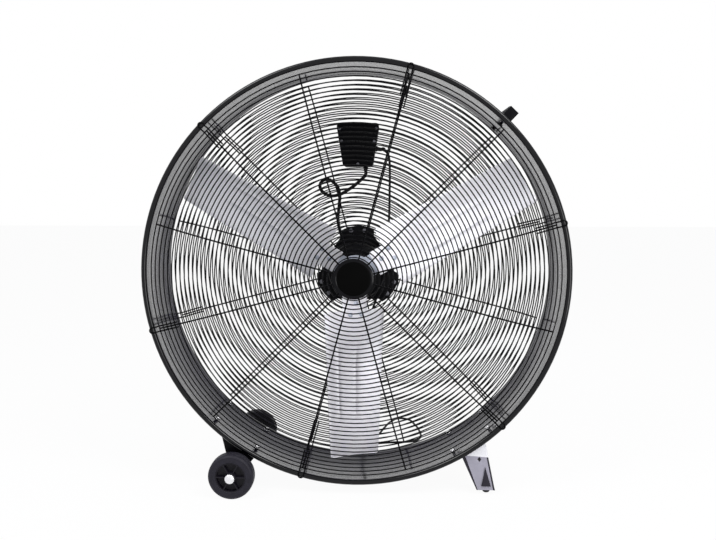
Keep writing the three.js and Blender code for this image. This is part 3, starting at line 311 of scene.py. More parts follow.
# The leg's grey paint with painted light: a pale copy is a painted highlight, a dark copy is
# painted shade.
LEG_PAINTED_HIGHLIGHT = Finish("leg_paint", (0.80, 0.80, 0.83), 0.30, mottle=0.03, coat=0.3)
LEG_PAINTED_SHADE = Finish("leg_paint", (0.012, 0.010, 0.018), 0.34, specular=0.3, mottle=0.15)
TYRE_RUBBER = Finish("tyre_rubber", (0.014, 0.013, 0.020), 0.50, specular=0.20, mottle=0.18,
                     patch=60.0, grain=Grain.RUBBER)
FOOT_RUBBER = Finish("foot_rubber", (0.010, 0.010, 0.012), 0.70, specular=0.2, mottle=0.2,
                     grain=Grain.RUBBER)
WHEEL_PLASTIC = Finish("wheel_plastic", (0.007, 0.006, 0.010), 0.40, specular=0.2,
                       grain=Grain.MOULDED)
GRIP_PLASTIC = Finish("grip_plastic", (0.022, 0.022, 0.025), 0.60, specular=0.25, mottle=0.15,
                      grain=Grain.MOULDED)
BOX_PLASTIC = Finish("box_plastic", (0.001, 0.001, 0.002), 0.45, specular=0.06,
                     grain=Grain.MOULDED)
KNOB_PLASTIC = Finish("knob_plastic", (0.010, 0.010, 0.012), 0.30, specular=0.3,
                      grain=Grain.MOULDED)
CORD_PVC = Finish("cord_pvc", (0.002, 0.002, 0.003), 0.42, specular=0.10, grain=Grain.MOULDED)


# ---------------------------------------------------------------- workbench


class Bench:
    """The moves of the workbench. Each one leaves nothing selected but its own piece."""

    merge: float = 1e-6  # metres within which two corners are one
    flat: float = math.radians(0.5)  # faces that meet under this angle are one
    turned: float = 38.0  # degrees under which the faces of a spun piece are shaded smooth
    softened: float = 44.0  # the same for a piece with rounded edges
    drawn: float = 60.0  # the same for a wire
    bend_steps: int = 5  # parts of a wire between two of its points

    @staticmethod
    def clear() -> None:
        """Leave edit mode and select nothing."""
        if bpy.context.object is not None and bpy.context.object.mode != "OBJECT":
            bpy.ops.object.mode_set(mode="OBJECT")
        bpy.ops.object.select_all(action="DESELECT")

    @classmethod
    def only(cls, piece: Piece) -> None:
        """Select one piece alone and make it the active one.

        Args:
            piece: The piece.
        """
        cls.clear()
        piece.select_set(True)
        bpy.context.view_layer.objects.active = piece

    @classmethod
    def enter(cls, piece: Piece) -> None:
        """Take one piece into edit mode with everything selected.

        Args:
            piece: The piece.
        """
        cls.only(piece)
        bpy.ops.object.mode_set(mode="EDIT")
        bpy.ops.mesh.select_all(action="SELECT")

    @staticmethod
    def named(name: str) -> Piece:
        """Name the primitive that was just added and put its place in its mesh.

        Args:
            name: The piece's name.

        Returns:
            The piece.
        """
        piece = bpy.context.active_object
        piece.name = piece.data.name = name
        bpy.ops.object.transform_apply(location=True, rotation=True, scale=True)
        return piece

    @classmethod
    def outline(cls, name: str, points: Sequence[Vector], fill: Fill) -> Piece:
        """Add a circle and pull its corners to an outline.

        Args:
            name: The piece's name.
            points: The corners in order.
            fill: What it is filled with.

        Returns:
            The flat piece.
        """
        cls.clear()
        bpy.ops.mesh.primitive_circle_add(vertices=len(points), radius=0.05, fill_type=fill.value)
        piece = cls.named(name)
        for vertex, point in zip(piece.data.vertices, points, strict=True):
            vertex.co = point
        return piece

    @classmethod
    def mend(cls, piece: Piece) -> Piece:
        """Merge doubled corners, drop loose ones and turn every face outwards.

        Args:
            piece: The piece.

        Returns:
            The same piece.
        """
        cls.enter(piece)
        bpy.ops.mesh.remove_doubles(threshold=cls.merge)
        bpy.ops.mesh.delete_loose()
        bpy.ops.mesh.select_all(action="SELECT")
        bpy.ops.mesh.normals_make_consistent(inside=False)
        bpy.ops.object.mode_set(mode="OBJECT")
        return piece

    @classmethod
    def spun(cls, name: str, section: Sequence[Pair], steps: int,
             centre: Triple = (0.0, 0.0, 0.0)) -> Piece:
        """Spin a closed section about an axis that runs from front to rear.

        Args:
            name: The piece's name.
            section: Radius and depth of each corner.
            steps: Faces round the turn.
            centre: A point of the axis, to which the depths are added.

        Returns:
            The closed ring or disc.
        """
        points = [Vector((radius * MM, depth * MM, 0.0)) for radius, depth in section]
        piece = cls.outline(name, points, Fill.NOTHING)
        cls.enter(piece)
        bpy.ops.mesh.spin(steps=steps, angle=2 * math.pi, center=(0, 0, 0), axis=(0, 1, 0))
        cls.mend(piece)
        piece.data.transform(Matrix.Translation(at(*centre)))
        return cls.smooth(piece, cls.turned)

    @classmethod
    def sheet(cls, name: str, points: Sequence[Vector], thickness: Vector) -> Piece:
        """Fill an outline and extrude it into a flat piece.

        Args:
            name: The piece's name.
            points: The corners in order.
            thickness: The way and length of the extrusion.

        Returns:
            The closed piece.
        """
        piece = cls.outline(name, points, Fill.FACE)
        cls.enter(piece)
        bpy.ops.mesh.extrude_region_move(TRANSFORM_OT_translate={"value": thickness})
        return cls.mend(piece)

    @classmethod
    def block(cls, name: str, middle: Triple, size: Triple) -> Piece:
        """Add a box.

        Args:
            name: The piece's name.
            middle: Its middle in fan millimetres.
            size: Its width, depth and height in millimetres.

        Returns:
            The box.
        """
        cls.clear()
        bpy.ops.mesh.primitive_cube_add(size=1.0, location=at(*middle),
                                        scale=tuple(side * MM for side in size))
        return cls.named(name)

    @classmethod
    def path(cls, name: str, points: Sequence[Vector], radius: float, sides: int,
             widths: Sequence[float] | None = None) -> Piece:
        """Draw a round wire through points as a curve of one spline.

        Args:
            name: The piece's name.
            points: Points that the wire passes through.
            radius: The wire's radius in millimetres.
            sides: Sides of its section, an even number.
            widths: A factor on the radius at each point.

        Returns:
            The curve.
        """
        cls.clear()
        bpy.ops.curve.primitive_bezier_curve_add(location=(0, 0, 0))
        piece = bpy.context.active_object
        piece.name = piece.data.name = name
        curve = piece.data
        spline = curve.splines[0]
        spline.bezier_points.add(len(points) - len(spline.bezier_points))
        for i, (knot, point) in enumerate(zip(spline.bezier_points, points, strict=True)):
            knot.co = point
            knot.handle_left_type = knot.handle_right_type = "AUTO"
            knot.radius = widths[i] if widths else 1.0
        curve.resolution_u = cls.bend_steps
        curve.bevel_depth = radius * MM
        curve.bevel_resolution = (sides - 4) // 2
        curve.use_fill_caps = True
        return piece

    @classmethod
    def wire(cls, name: str, points: Sequence[Vector], radius: float, sides: int,
             widths: Sequence[float] | None = None) -> Piece:
        """Draw a round wire as path() does and turn it into a mesh.

        Args:
            name: The piece's name.
            points: Points that the wire passes through.
            radius: The wire's radius in millimetres.
            sides: Sides of its section, an even number.
            widths: A factor on the radius at each point.

        Returns:
            The wire.
        """
        cls.only(cls.path(name, points, radius, sides, widths))
        bpy.ops.object.convert(target="MESH")
        return cls.mend(bpy.context.active_object)

    @classmethod
    def smooth(cls, piece: Piece, degrees: float) -> Piece:
        """Shade a piece smooth where its faces meet under an angle.

        Args:
            piece: The piece.
            degrees: The angle.

        Returns:
            The same piece.
        """
        cls.only(piece)
        bpy.ops.object.shade_smooth_by_angle(angle=math.radians(degrees))
        return piece

    @classmethod
    def soften(cls, piece: Piece, width: float, segments: int = 2, degrees: float = 38.0) -> Piece:
        """Round the edges of a piece.

        Args:
            piece: The piece.
            width: Width of the rounding in millimetres.
            segments: Faces across it.
            degrees: Edges sharper than this are rounded.

        Returns:
            The same piece, its modifier applied.
        """
        cls.only(piece)
        edge = piece.modifiers.new("edge", "BEVEL")
        edge.width = width * MM
        edge.segments = segments
        edge.limit_method = "ANGLE"
        edge.angle_limit = math.radians(degrees)
        edge.miter_outer = "MITER_ARC"
        bpy.ops.object.modifier_apply(modifier=edge.name)
        return cls.smooth(piece, cls.softened)

    @classmethod
    def divide(cls, piece: Piece, planes: Sequence[Plane]) -> None:
        """Cut the faces of a piece along planes, each given by a point and a normal.

        Args:
            piece: The piece.
            planes: The planes.
        """
        cls.enter(piece)
        for spot, way in planes:
            bpy.ops.mesh.select_all(action="SELECT")
            bpy.ops.mesh.bisect(plane_co=spot, plane_no=way)
        bpy.ops.object.mode_set(mode="OBJECT")

    @classmethod
    def joined(cls, name: str, pieces: Sequence[Piece]) -> Piece:
        """Join several pieces into the first one.

        Args:
            name: The whole's name.
            pieces: The pieces.

        Returns:
            The first piece, which now holds them all.
        """
        cls.only(pieces[0])
        for piece in pieces:
            piece.select_set(True)
        bpy.ops.object.join()
        whole = bpy.context.active_object
        whole.name = whole.data.name = name
        return whole

    @staticmethod
    def copied(piece: Piece, name: str, place: Matrix) -> Piece:
        """Copy a piece with a mesh of its own, and move that mesh.

        Args:
            piece: The piece.
            name: The copy's name.
            place: The move.

        Returns:
            The copy.
        """
        twin = piece.copy()
        twin.data = piece.data.copy()
        twin.name = twin.data.name = name
        twin.data.transform(place)
        bpy.context.scene.collection.objects.link(twin)
        return twin

    @classmethod
    def spread(cls, piece: Piece, name: str, places: Sequence[Matrix]) -> list[Piece]:
        """Make a numbered copy of a piece at each place and drop the piece itself.

        Args:
            piece: The piece.
            name: The copies' name, before their numbers.
            places: The moves.

        Returns:
            The copies.
        """
        twins = [cls.copied(piece, f"{name}_{i + 1}", place) for i, place in enumerate(places)]
        bpy.data.objects.remove(piece)
        return twins

    @classmethod
    def carried(cls, node: str, name: str, width: float, segments: int = 2) -> Piece:
        """Copy a CAD node, merge its loose triangles and round its edges.

        Args:
            node: The CAD node.
            name: The new piece's name.
            width: Width of the rounding in millimetres.
            segments: Faces across it.

        Returns:
            The finished copy, which still has to replace the node.
        """
        twin = bpy.data.objects.new(name, bpy.data.objects[node].data.copy())
        twin.data.name = name
        bpy.context.scene.collection.objects.link(twin)
        cls.enter(twin)
        bpy.ops.mesh.remove_doubles(threshold=cls.merge)
        bpy.ops.mesh.dissolve_limited(angle_limit=cls.flat)
        return cls.soften(twin, width, segments)


def fit(piece: Piece, body: str, finish: Finish, *nodes: str) -> Piece:
    """Put a finished piece on its body.

    Args:
        piece: The piece.
        body: The CAD body it moves with.
        finish: Its surface.
        nodes: The CAD nodes that it stands for.

    Returns:
        The same piece.
    """
    piece.data.materials.clear()
    piece.data.materials.append(finish.material())
    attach(piece, body)
    if nodes:
        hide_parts(*nodes)
    LOG.info("%s on %s, %s", piece.name, body, finish.slot)
    return piece


def carry(node: str, name: str, body: str, finish: Finish, width: float,
          segments: int = 2) -> Piece:
    """Put a CAD node's copy with rounded edges in its place, as Bench.carried() and fit() do."""
    return fit(Bench.carried(node, name, width, segments), body, finish, node)


# ---------------------------------------------------------------- drum and guards


@dataclass
class Drum:
    """The rolled steel drum with a wired bead at each edge, and the bolts through its wall."""

    wall_radius: float = 561.0
    bead_centre: float = 567.5
    bead_radius: float = 7.5
    bead_band: float = 8.0
    curl_start: float = 150.0
    curl_sweep: float = 323.0
    curl_corners: int = 23
    depth: float = 206.0
    steps: int = 144
    bolt_angles: tuple[float, ...] = (226.6, 240.6, -60.8, -48.8)
    bolt_depths: Pair = (36.0, 182.0)
    bolt_seat: float = 2.1

    def section(self) -> list[Pair]:
        """Return the closed section of the wall between its two beads.

        Returns:
            Radius and depth of each corner.
        """
        last = self.curl_corners - 1
        curl = [self.curl_start + self.curl_sweep * i / last for i in range(self.curl_corners)]
        front = [self.on_bead(angle, 0.0) for angle in curl]
        rear = [self.on_bead(-angle, self.depth) for angle in reversed(curl)]
        return [*front, *rear]

    def on_bead(self, degrees: float, centre: float) -> Pair:
        """Return a corner of a bead's section."""
        r, d = polar(self.bead_radius, degrees)
        return self.bead_centre + r, centre + d

    def build(self) -> None:
        """Make the shell and its bolts."""
        shell = Bench.spun("drum_wall", self.section(), self.steps)
        fit(shell, "frame", DRUM_BLACK, "drum_shell")
        shell.data.materials.append(BEAD_BLACK.material())
        for face in shell.data.polygons:
            on_wall = self.bead_band < depth_of(face.center) < self.depth - self.bead_band
            face.material_index = 0 if on_wall else 1
        places = [face_turn(angle) @ Matrix.Translation((0.0, depth * MM, 0.0))
                  for angle in self.bolt_angles for depth in self.bolt_depths]
        for bolt in Bench.spread(self.bolt_head(), "wall_bolt", places):
            fit(bolt, "frame", ZINC)

    def bolt_head(self) -> Piece:
        """Make one flanged head on the inner wall at angle 0, in the plane of the front bead.

        Returns:
            The head.
        """
        reach = self.wall_radius - self.bolt_seat
        parts = []
        for name, sides, radius, inner, outer, edge in (
            ("flange", 24, 8.6, reach - 1.6, reach, 0.5),
            ("hexagon", 6, 6.6, reach - 5.6, reach - 1.2, 0.8),
        ):
            Bench.clear()
            bpy.ops.mesh.primitive_cylinder_add(
                vertices=sides, radius=radius * MM, depth=(outer - inner) * MM,
                location=at((inner + outer) / 2, 0, 0), rotation=(0, QUARTER, 0))
            parts.append(Bench.soften(Bench.named(name), edge))
        return Bench.joined("bolt_head", parts)


@dataclass
class WireGuard:
    """A dished guard: rings and spokes of round wire, welded where they cross.

    Attributes:
        name: The piece's name.
        node: The CAD node that it stands for.
        plane: Depth of the outermost ring, behind the front bead.
        way: -1 for a dish to the front, 1 for one to the rear.
        first: Radius of the innermost ring.
        rings: Number of rings.
        dish: Depth of the dish.
        slope: Width of the sloping zone inside the rim.
        spoke_start: Radius at which the spokes start.
    """

    name: str
    node: str
    plane: float
    way: float
    first: float
    rings: int
    dish: float
    slope: float
    spoke_start: float
    rim: float = 548.0
    ring_radius: float = 1.7
    spoke_radius: float = 2.3
    spokes: int = 12
    first_spoke: float = 15.0
    spoke_points: int = 14
    wide_ring: float = 250.0

    def depth(self, radius: float) -> float:
        """Return how far behind the front bead the guard lies at a radius."""
        t = max(0.0, 1 - (self.rim - radius) / self.slope)
        return self.plane + self.way * self.dish * (1 - t * t)

    def build(self) -> None:
        """Make the rings and spokes and join them."""
        parts = [self.ring(k) for k in range(self.rings)]
        step = 360 / self.spokes
        turns = [face_turn(self.first_spoke + i * step) for i in range(self.spokes)]
        parts += Bench.spread(self.spoke(), "spoke", turns)
        whole = Bench.smooth(Bench.joined(self.name, parts), Bench.drawn)
        fit(whole, "frame", WIRE_BLACK, self.node)

    def ring(self, k: int) -> Piece:
        """Make one ring of wire, counted from the innermost.

        Args:
            k: Its number, from 0.

        Returns:
            The ring.
        """
        radius = self.first + k * (self.rim - self.first) / (self.rings - 1)
        Bench.clear()
        bpy.ops.mesh.primitive_torus_add(
            major_radius=radius * MM, minor_radius=self.ring_radius * MM,
            major_segments=96 if radius > self.wide_ring else 60, minor_segments=6,
            location=at(0, self.depth(radius), 0), rotation=(QUARTER, 0, 0))
        return Bench.named("ring")

    def spoke(self) -> Piece:
        """Make one spoke at angle 0, bent to the guard's dish.

        Returns:
            The spoke.
        """
        span, last = self.rim - self.spoke_start, self.spoke_points - 1
        radii = [self.spoke_start + i * span / last for i in range(self.spoke_points)]
        return Bench.wire("spoke", [at(r, self.depth(r), 0) for r in radii], self.spoke_radius, 6)


@dataclass
class GuardClips:
    """Wire hairpins that hold a guard to the bead, six on each side."""

    front: WireGuard
    rear: WireGuard
    count: int = 6
    wire: float = 2.0
    gap: float = 0.4
    spread: float = 7.0
    bend: float = 7.5
    out: float = 565.5
    leg_radii: Triple = (490.0, 510.0, 530.0)
    leg_top: float = 560.0
    bead_front: float = 9.8

    def build(self) -> None:
        """Make one hairpin a side and copy it round."""
        step = 360 / self.count
        for guard, side in ((self.front, Side.FRONT), (self.rear, Side.REAR)):
            turns = [face_turn(guard.first_spoke + step * i) for i in range(self.count)]
            pins = Bench.spread(self.hairpin(guard), f"{side.value}_hairpin", turns)
            for i, pin in enumerate(pins):
                fit(pin, "frame", WIRE_BLACK, f"{side.value}_clip_{i + 1}")

    def hairpin(self, guard: WireGuard) -> Piece:
        """Make a hairpin at angle 0 with its legs on the guard's outer rings.

        Args:
            guard: The guard that it holds.

        Returns:
            The hairpin.
        """
        over = guard.way * (guard.ring_radius + self.wire + self.gap)
        outer = guard.plane + guard.way * self.bead_front
        half = [(r, guard.depth(r) + over, self.spread) for r in (*self.leg_radii, guard.rim)]
        half.append((self.leg_top, outer, self.spread))
        mirrored = [(r, d, -across) for r, d, across in reversed(half)]
        bends = []
        for degrees in range(90, -91, -30):
            r, across = polar(self.bend, degrees)
            bends.append((self.out + r, outer, across))
        points = [at(*point) for point in (*half, *bends, *mirrored)]
        return Bench.smooth(Bench.wire("hairpin", points, self.wire, 8), Bench.drawn)


def guard_plate() -> None:
    """Make the blank disc in the middle of the front guard, and the rolled rim round it."""
    disc = [(0.0, -31.05), (38.0, -31.05), (43.0, -30.9), (44.6, -30.5), (45.2, -29.7),
            (0.0, -29.7)]
    fit(Bench.spun("blank_plate", disc, 96), "frame", DISC_BLACK, "front_guard_plate")
    rim = [(44.0, -29.6), (45.6, -30.2), (47.0, -31.0), (48.4, -30.9), (50.4, -30.3),
           (52.6, -29.7), (53.9, -29.4), (54.2, -29.1), (44.0, -29.05)]
    fit(Bench.spun("plate_rim", rim, 96), "frame", RIM_BLACK)


# ---------------------------------------------------------------- rotor


@dataclass
class Rotor:
    """Three sheet blades riveted to a pressed spider on the motor's shaft."""

    depth: float = 95.0
    root: float = 60.0
    shoulder: float = 104.0
    tip: float = 529.0
    tongue: tuple[float, ...] = (70.0, 80.0, 90.0, 98.0)
    shoulder_step: float = 0.8
    tip_step: float = 0.01
    rows: int = 50
    columns_a_side: int = 7
    sheet: float = 2.0
    root_chord: float = 76.0
    wide_chord: float = 186.0
    tip_chord: float = 144.0
    corner: float = 5.0
    flat_end: float = 136.0
    camber_end: float = 265.0
    camber: float = 9.0
    offset: float = -3.0
    creases: Pair = (-0.56, 0.09)
    crease_span: Pair = (195.0, 425.0)
    crease_fade: float = 20.0
    crease_width: float = 0.035
    crease_room: float = 0.06
    crease_rise: float = 1.4
    root_pitch: float = 28.0
    tip_pitch: float = 22.0
    angles: Triple = (30.0, 150.0, 270.0)
    rivets: tuple[Pair, ...] = ((84.0, 0.0), (116.0, -17.0), (116.0, 17.0))

    def half_chord(self, radius: float) -> float:
        """Return half the blade's width: a tongue, then a paddle that tapers to its tip.

        Args:
            radius: Distance from the axis.

        Returns:
            Half the width in millimetres.
        """
        past_shoulder = radius - self.shoulder
        if past_shoulder <= 0:
            return self.root_chord / 2
        taper = past_shoulder / (self.tip - self.shoulder)
        half = (self.wide_chord + (self.tip_chord - self.wide_chord) * taper) / 2
        into = max(0.0, self.corner - past_shoulder, self.corner - (self.tip - radius))
        return half - self.corner + math.sqrt(self.corner**2 - into**2)

    def on_blade(self, radius: float, share: float) -> Vector:
        """Return a point in the middle of the sheet of the blade at angle 0.

        Args:
            radius: Distance from the axis.
            share: Place across the blade, -1 to 1.

        Returns:
            The point in metres.
        """
        outward = smoothstep(radius, self.flat_end, self.tip)
        pitch = math.radians(self.root_pitch + (self.tip_pitch - self.root_pitch) * outward)
        camber = self.camber * smoothstep(radius, self.flat_end, self.camber_end)
        start, end = self.crease_span
        pressed = smoothstep(radius, start, start + self.crease_fade)
        pressed *= 1 - smoothstep(radius, end - self.crease_fade, end)
        crease = self.crease_rise * pressed if share in self.creases else 0.0
        across = self.half_chord(radius) * share + self.offset
        return at(*self.pitched(radius, across, camber * (1 - share * share) - crease, pitch))

    def pitched(self, radius: float, across: float, rise: float, pitch: float) -> Triple:
        """Return the fan millimetres of a place across a pitched blade and off its rear face."""
        sine, cosine = math.sin(pitch), math.cos(pitch)
        return radius, self.depth + across * sine + rise * cosine, across * cosine - rise * sine

    def stations(self) -> list[float]:
        """Return the radii of the blade's rows, closest together at the shoulder and the tip.

        Returns:
            The radii in order.
        """
        start, end = self.shoulder + self.shoulder_step, self.tip - self.tip_step
        waves = [(1 - math.cos(math.pi * k / self.rows)) / 2 for k in range(self.rows + 1)]
        paddle = [start + (end - start) * wave for wave in waves]
        return [self.root, *self.tongue, self.shoulder, *paddle]

    def columns(self) -> list[float]:
        """Return the places across the blade of its columns, with three for each crease.

        Returns:
            The places in order, -1 to 1.
        """
        n = self.columns_a_side
        even = [k / n for k in range(-n, n + 1)]
        clear = [s for s in even if all(abs(s - c) > self.crease_room for c in self.creases)]
        ridge = [c + side * self.crease_width for c in self.creases for side in (-1, 0, 1)]
        return sorted(clear + ridge)

    def build(self) -> None:
        """Make the blades, their rivets and the hub."""
        blade, rivet = self.blade(), self.rivet()
        for i, angle in enumerate(self.angles):
            turn = face_turn(angle)
            finish = replace(BLADE_ALUMINIUM, turn=-angle)
            twin = Bench.copied(blade, f"blade_sheet_{i + 1}", turn)
            fit(twin, "rotor", finish, f"blade_{i + 1}")
            heads = [Bench.copied(rivet, "head", turn @ Matrix.Translation(self.on_arm(*spot)))
                     for spot in self.rivets]
            fit(Bench.joined(f"blade_rivets_{i + 1}", heads), "rotor", RIVET_ALUMINIUM)
        bpy.data.objects.remove(blade)
        bpy.data.objects.remove(rivet)
        carry("hub_spider", "pressed_spider", "rotor", HUB_ZINC, 0.8)
        carry("hub_boss", "turned_boss", "rotor", HUB_ZINC, 0.8)
        carry("shaft_nut", "hexagon_nut", "rotor", ZINC, 1.2)
        carry("motor_shaft", "ground_shaft", "rotor", STEEL, 1.0)

    def blade(self) -> Piece:
        """Make one blade at angle 0: a grid bent to the paddle's form and given its thickness.

        Returns:
            The blade.
        """
        radii, shares = self.stations(), self.columns()
        rows, columns = len(radii) - 1, len(shares) - 1
        Bench.clear()
        bpy.ops.mesh.primitive_grid_add(x_subdivisions=rows, y_subdivisions=columns, size=1.0)
        piece = Bench.named("blade")
        for vertex in piece.data.vertices:
            row, column = round((vertex.co.x + 0.5) * rows), round((vertex.co.y + 0.5) * columns)
            vertex.co = self.on_blade(radii[row], shares[column])
        thick = piece.modifiers.new("thickness", "SOLIDIFY")
        thick.thickness = self.sheet * MM
        thick.offset = 0.0
        Bench.only(piece)
        bpy.ops.object.modifier_apply(modifier=thick.name)
        return Bench.soften(Bench.mend(piece), 0.5, 2, 50)

    def on_arm(self, radius: float, across: float) -> Vector:
        """Return the shift that takes a rivet to its spot on the front of a blade's root."""
        pitch = math.radians(self.root_pitch)
        return Vector(self.pitched(radius, across, -self.sheet / 2, pitch)) * MM

    def rivet(self) -> Piece:
        """Make a domed rivet head at the fan's origin, square to the blade's root.

        Returns:
            The head.
        """
        section = [(0.0, -2.9), (2.2, -2.6), (4.0, -1.8), (5.2, -0.6), (5.4, 0.3), (0.0, 0.3)]
        piece = Bench.spun("rivet", section, 20)
        piece.data.transform(about_front(Matrix.Rotation(-math.radians(self.root_pitch), 4, "X")))
        return piece


# ---------------------------------------------------------------- motor


@dataclass
class Motor:
    """The closed motor on its three-eared cradle, clamped to the rear guard."""

    radius: float = 82.0
    bore: float = 10.2
    front: float = 131.05
    plate_front: float = 223.9
    plate_sheet: float = 3.6
    ears: Triple = (90.0, 210.0, 330.0)
    ear_root: float = 99.0
    ear_half: float = 48.0
    bow_half: float = 49.0
    bow_centre: float = 28.0
    valley: Pair = (97.0, 43.0)
    bar_end: float = 124.5

    def build(self) -> None:
        """Make the end shields, the finned body, the cradle and its clamps."""
        nose = Bench.spun("front_end_shield", self.nose(), 72)
        fit(nose, "frame", MOTOR_BLACK, "motor_front_shield")
        carry("motor_body", "finned_body", "frame", MOTOR_BLACK, 0.6)
        carry("motor_rear_shield", "rear_end_shield", "frame", MOTOR_BLACK, 1.0)
        plate = Bench.sheet("motor_plate", self.plate_outline(), BACK * self.plate_sheet)
        fit(Bench.soften(plate, 0.9), "frame", MOTOR_BLACK, "motor_cradle")
        carry("motor_gland", "motor_cable_gland", "frame", BOX_PLASTIC, 0.7)
        for i, ear in enumerate(self.ears):
            bar = carry(f"cradle_clamp_{i + 1}", f"clamp_bar_{i + 1}", "frame", DULL_STEEL, 0.6)
            x, z = polar(1.0, ear)
            way = Vector((x, 0.0, z))
            for vertex in bar.data.vertices:
                past = (vertex.co - FRONT).dot(way) - self.bar_end * MM
                vertex.co -= way * max(0.0, past)

    def nose(self) -> list[Pair]:
        """Return the section of the front end shield.

        Returns:
            Radius and depth of each corner.
        """
        r = self.radius
        steps = [(self.bore, 0.0), (24, 0.0), (27, 1.2), (30, 4.0), (58, 5.5), (70, 8.5),
                 (78, 13.0), (r - 1, 18.5), (r, 22.0), (r, 26.4), (r - 0.6, 27.0),
                 (self.bore, 27.0)]
        return [(radius, self.front + depth) for radius, depth in steps]

    def plate_outline(self) -> list[Vector]:
        """Return the outline of the cradle: three ears with bowed ends.

        Returns:
            The corners in order.
        """
        radius, angle = self.valley
        bow = [self.bow_half * share / 6 for share in range(-6, 7)]
        ear = [polar(radius, -angle), (self.ear_root, -self.ear_half)]
        ear += [(self.bow_centre + math.sqrt(self.ear_root**2 - a**2), a) for a in bow]
        ear += [(self.ear_root, self.ear_half), polar(radius, angle)]
        return [self.on_plate(*corner, turn) for turn in self.ears for corner in ear]

    def on_plate(self, radial: float, across: float, turn: float) -> Vector:
        """Return a corner of the cradle from its place on an ear.

        Args:
            radial: Distance along the ear.
            across: Distance from the ear's middle line.
            turn: The ear's angle.

        Returns:
            The corner in metres.
        """
        angle = turn + math.degrees(math.atan2(across, radial))
        x, z = polar(math.hypot(radial, across), angle)
        return at(x, self.plate_front, z)


# ---------------------------------------------------------------- wheels, leg and handle


@dataclass
class Wheel:
    """A solid rubber tyre on a six-ribbed hub, held by a push-on cap."""

    side: Side
    depth: float
    x: float = -332.0
    z: float = -539.5
    bore: float = 41.0
    width: float = 36.0
    rim_band: Pair = (32.0, 38.0)
    rim_shift: float = 3.6

    def section(self) -> list[Pair]:
        """Return the tyre's section: bore, side wall, bead, shoulder and tread, then mirrored.

        Returns:
            Radius and depth of each corner.
        """
        h = self.width / 2
        half = [(self.bore, -h + 1), (self.bore + 1, -h), (50, -h), (51.5, -h + 0.8),
                (55, -h + 0.8), (56.5, -h + 0.2), (60, -h + 2.2), (61.8, -h + 5), (62.3, -h + 9),
                (62.5, -4), (62.5, -1.6), (61.4, -1.2)]
        return [*half, *[(radius, -depth) for radius, depth in reversed(half)]]

    def build(self) -> None:
        """Make the tyre, the hub with its rim moved out under the tyre, and the cap."""
        side = self.side.value
        body = f"wheel_{side}"
        middle = (self.x, self.depth, self.z)
        tyre = Bench.spun(f"tyre_ring_{side}", self.section(), 96, middle)
        fit(tyre, body, TYRE_RUBBER, f"tyre_{side}")
        hub = carry(f"wheel_hub_{side}", f"ribbed_hub_{side}", body, WHEEL_PLASTIC, 1.0)
        centre = at(*middle)
        inner, outer = self.rim_band
        for vertex in hub.data.vertices:
            away = Vector((vertex.co.x - centre.x, 0.0, vertex.co.z - centre.z))
            if inner < away.length / MM < outer:
                vertex.co += away.normalized() * self.rim_shift * MM
        carry(f"axle_cap_{side}", f"push_cap_{side}", "frame", ZINC, 1.2, 3)


